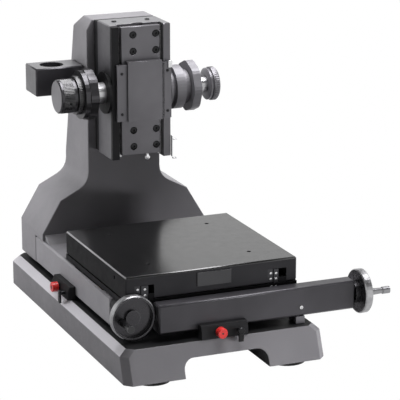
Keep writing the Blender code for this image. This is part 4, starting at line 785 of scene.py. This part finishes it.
def backdrop_material():
    """Plain white to the camera; in reflections it glows as a painted reflection that fades from
    bright on the right to dark, with a painted shadow under the object.
    """
    material, tree, shader = new_material("studio_floor")
    shader.inputs["Base Color"].default_value = (0.30, 0.30, 0.30, 1)
    shader.inputs["Roughness"].default_value = 0.9
    shader.inputs["Specular IOR Level"].default_value = 0.0
    glow = add_node(tree, "ShaderNodeEmission", Strength=1.0)
    place = tree.nodes.new("ShaderNodeSeparateXYZ")
    tree.links.new(tree.nodes.new("ShaderNodeTexCoord").outputs["Object"], place.inputs["Vector"])
    across, back = place.outputs["X"], place.outputs["Y"]
    path = tree.nodes.new("ShaderNodeLightPath")
    # Painted shadow under the object and painted glow, seen only in reflections
    clear = maths(tree, "MAXIMUM",
                  spread(tree, maths(tree, "ABSOLUTE", back), 0.0, 1.0, *FLOOR_CLEAR_Y),
                  spread(tree, across, 0.0, 1.0, *FLOOR_CLEAR_X))
    shaded = maths(tree, "MULTIPLY", spread(tree, across, *FLOOR_LEVELS, *FLOOR_FADE), clear)
    bright = maths(tree, "MAXIMUM", shaded, spread(tree, back, 0.0, FLOOR_REAR_GLOW, *FLOOR_REAR))
    mirrored = maths(tree, "MULTIPLY", bright, path.outputs["Is Glossy Ray"])
    seen = maths(tree, "MAXIMUM", mirrored, path.outputs["Is Camera Ray"])
    mix = tree.nodes.new("ShaderNodeMixShader")
    tree.links.new(seen, mix.inputs["Fac"])
    tree.links.new(shader.outputs["BSDF"], mix.inputs[1])
    tree.links.new(glow.outputs["Emission"], mix.inputs[2])
    tree.links.new(mix.outputs["Shader"], tree.nodes["Material Output"].inputs["Surface"])
    return material


def build_floor():
    corners = [(-FLOOR_REACH, -FLOOR_REACH, 0), (FLOOR_REACH, -FLOOR_REACH, 0),
               (FLOOR_REACH, FLOOR_REACH, 0), (-FLOOR_REACH, FLOOR_REACH, 0)]
    mesh = bpy.data.meshes.new("floor")
    mesh.from_pydata(corners, [], [(0, 1, 2, 3)])
    mesh.materials.append(backdrop_material())
    floor = bpy.data.objects.new("floor", mesh)
    bpy.context.scene.collection.objects.link(floor)


def build_world():
    """White behind the object, bright in reflections and dim for the rest of the light."""
    world = bpy.data.worlds.new("studio")
    world.use_nodes = True
    tree = world.node_tree
    background = tree.nodes["Background"]
    background.inputs["Color"].default_value = (1, 1, 1, 1)
    aim = tree.nodes.new("ShaderNodeSeparateXYZ")
    tree.links.new(tree.nodes.new("ShaderNodeTexCoord").outputs["Generated"], aim.inputs["Vector"])
    path = tree.nodes.new("ShaderNodeLightPath")
    strength = tree.nodes.new("ShaderNodeMapRange")
    strength.inputs["To Min"].default_value = WORLD_FILL
    mirrored = spread(tree, aim.outputs["Z"], WORLD_MIRRORED, CEILING_MIRRORED, *CEILING_FADE)
    tree.links.new(mirrored, strength.inputs["To Max"])
    tree.links.new(path.outputs["Is Glossy Ray"], strength.inputs["Value"])
    seen = maths(tree, "MAXIMUM", strength.outputs["Result"], path.outputs["Is Camera Ray"])
    tree.links.new(seen, background.inputs["Strength"])
    bpy.context.scene.world = world


def softbox(name, place, aim, size, power, spread_angle=180.0, mirrored=True):
    """A rectangular lamp that looks at a place; some aren't seen in reflections."""
    data = bpy.data.lights.new(name, "AREA")
    data.spread = math.radians(spread_angle)
    data.shape = "RECTANGLE"
    data.size, data.size_y = size
    data.color = LAMP_TINT
    data.energy = power
    light = bpy.data.objects.new(name, data)
    bpy.context.scene.collection.objects.link(light)
    light.location = place
    light.rotation_euler = (Vector(aim) - Vector(place)).to_track_quat("-Z", "Y").to_euler()
    light.visible_glossy = mirrored


build_floor()
build_world()
softbox("overhead", (0.20, 0.15, 1.8), aim=(0.0, 0.10, 0.1), size=(1.7, 1.0), power=60.0)
softbox("left_side", (-1.08, 0.60, 0.26), aim=(-0.1, 0.05, 0.15), size=(0.8, 0.4), power=10.5,
        mirrored=False)
softbox("rim_left", (-0.9, 2.4, 1.1), aim=(0.0, 0.0, 0.15), size=(1.4, 1.0), power=10.0,
        mirrored=False)
softbox("right_rear", (1.5, 1.4, 0.9), aim=(0.0, 0.05, 0.2), size=(0.9, 0.9), power=12.0,
        mirrored=False)
softbox("front_low", (0.50, -0.55, 0.03), aim=(0.02, -0.2, 0.0), size=(0.4, 0.06), power=0.43,
        spread_angle=40.0, mirrored=False)
bpy.context.scene.view_settings.view_transform = "Standard"
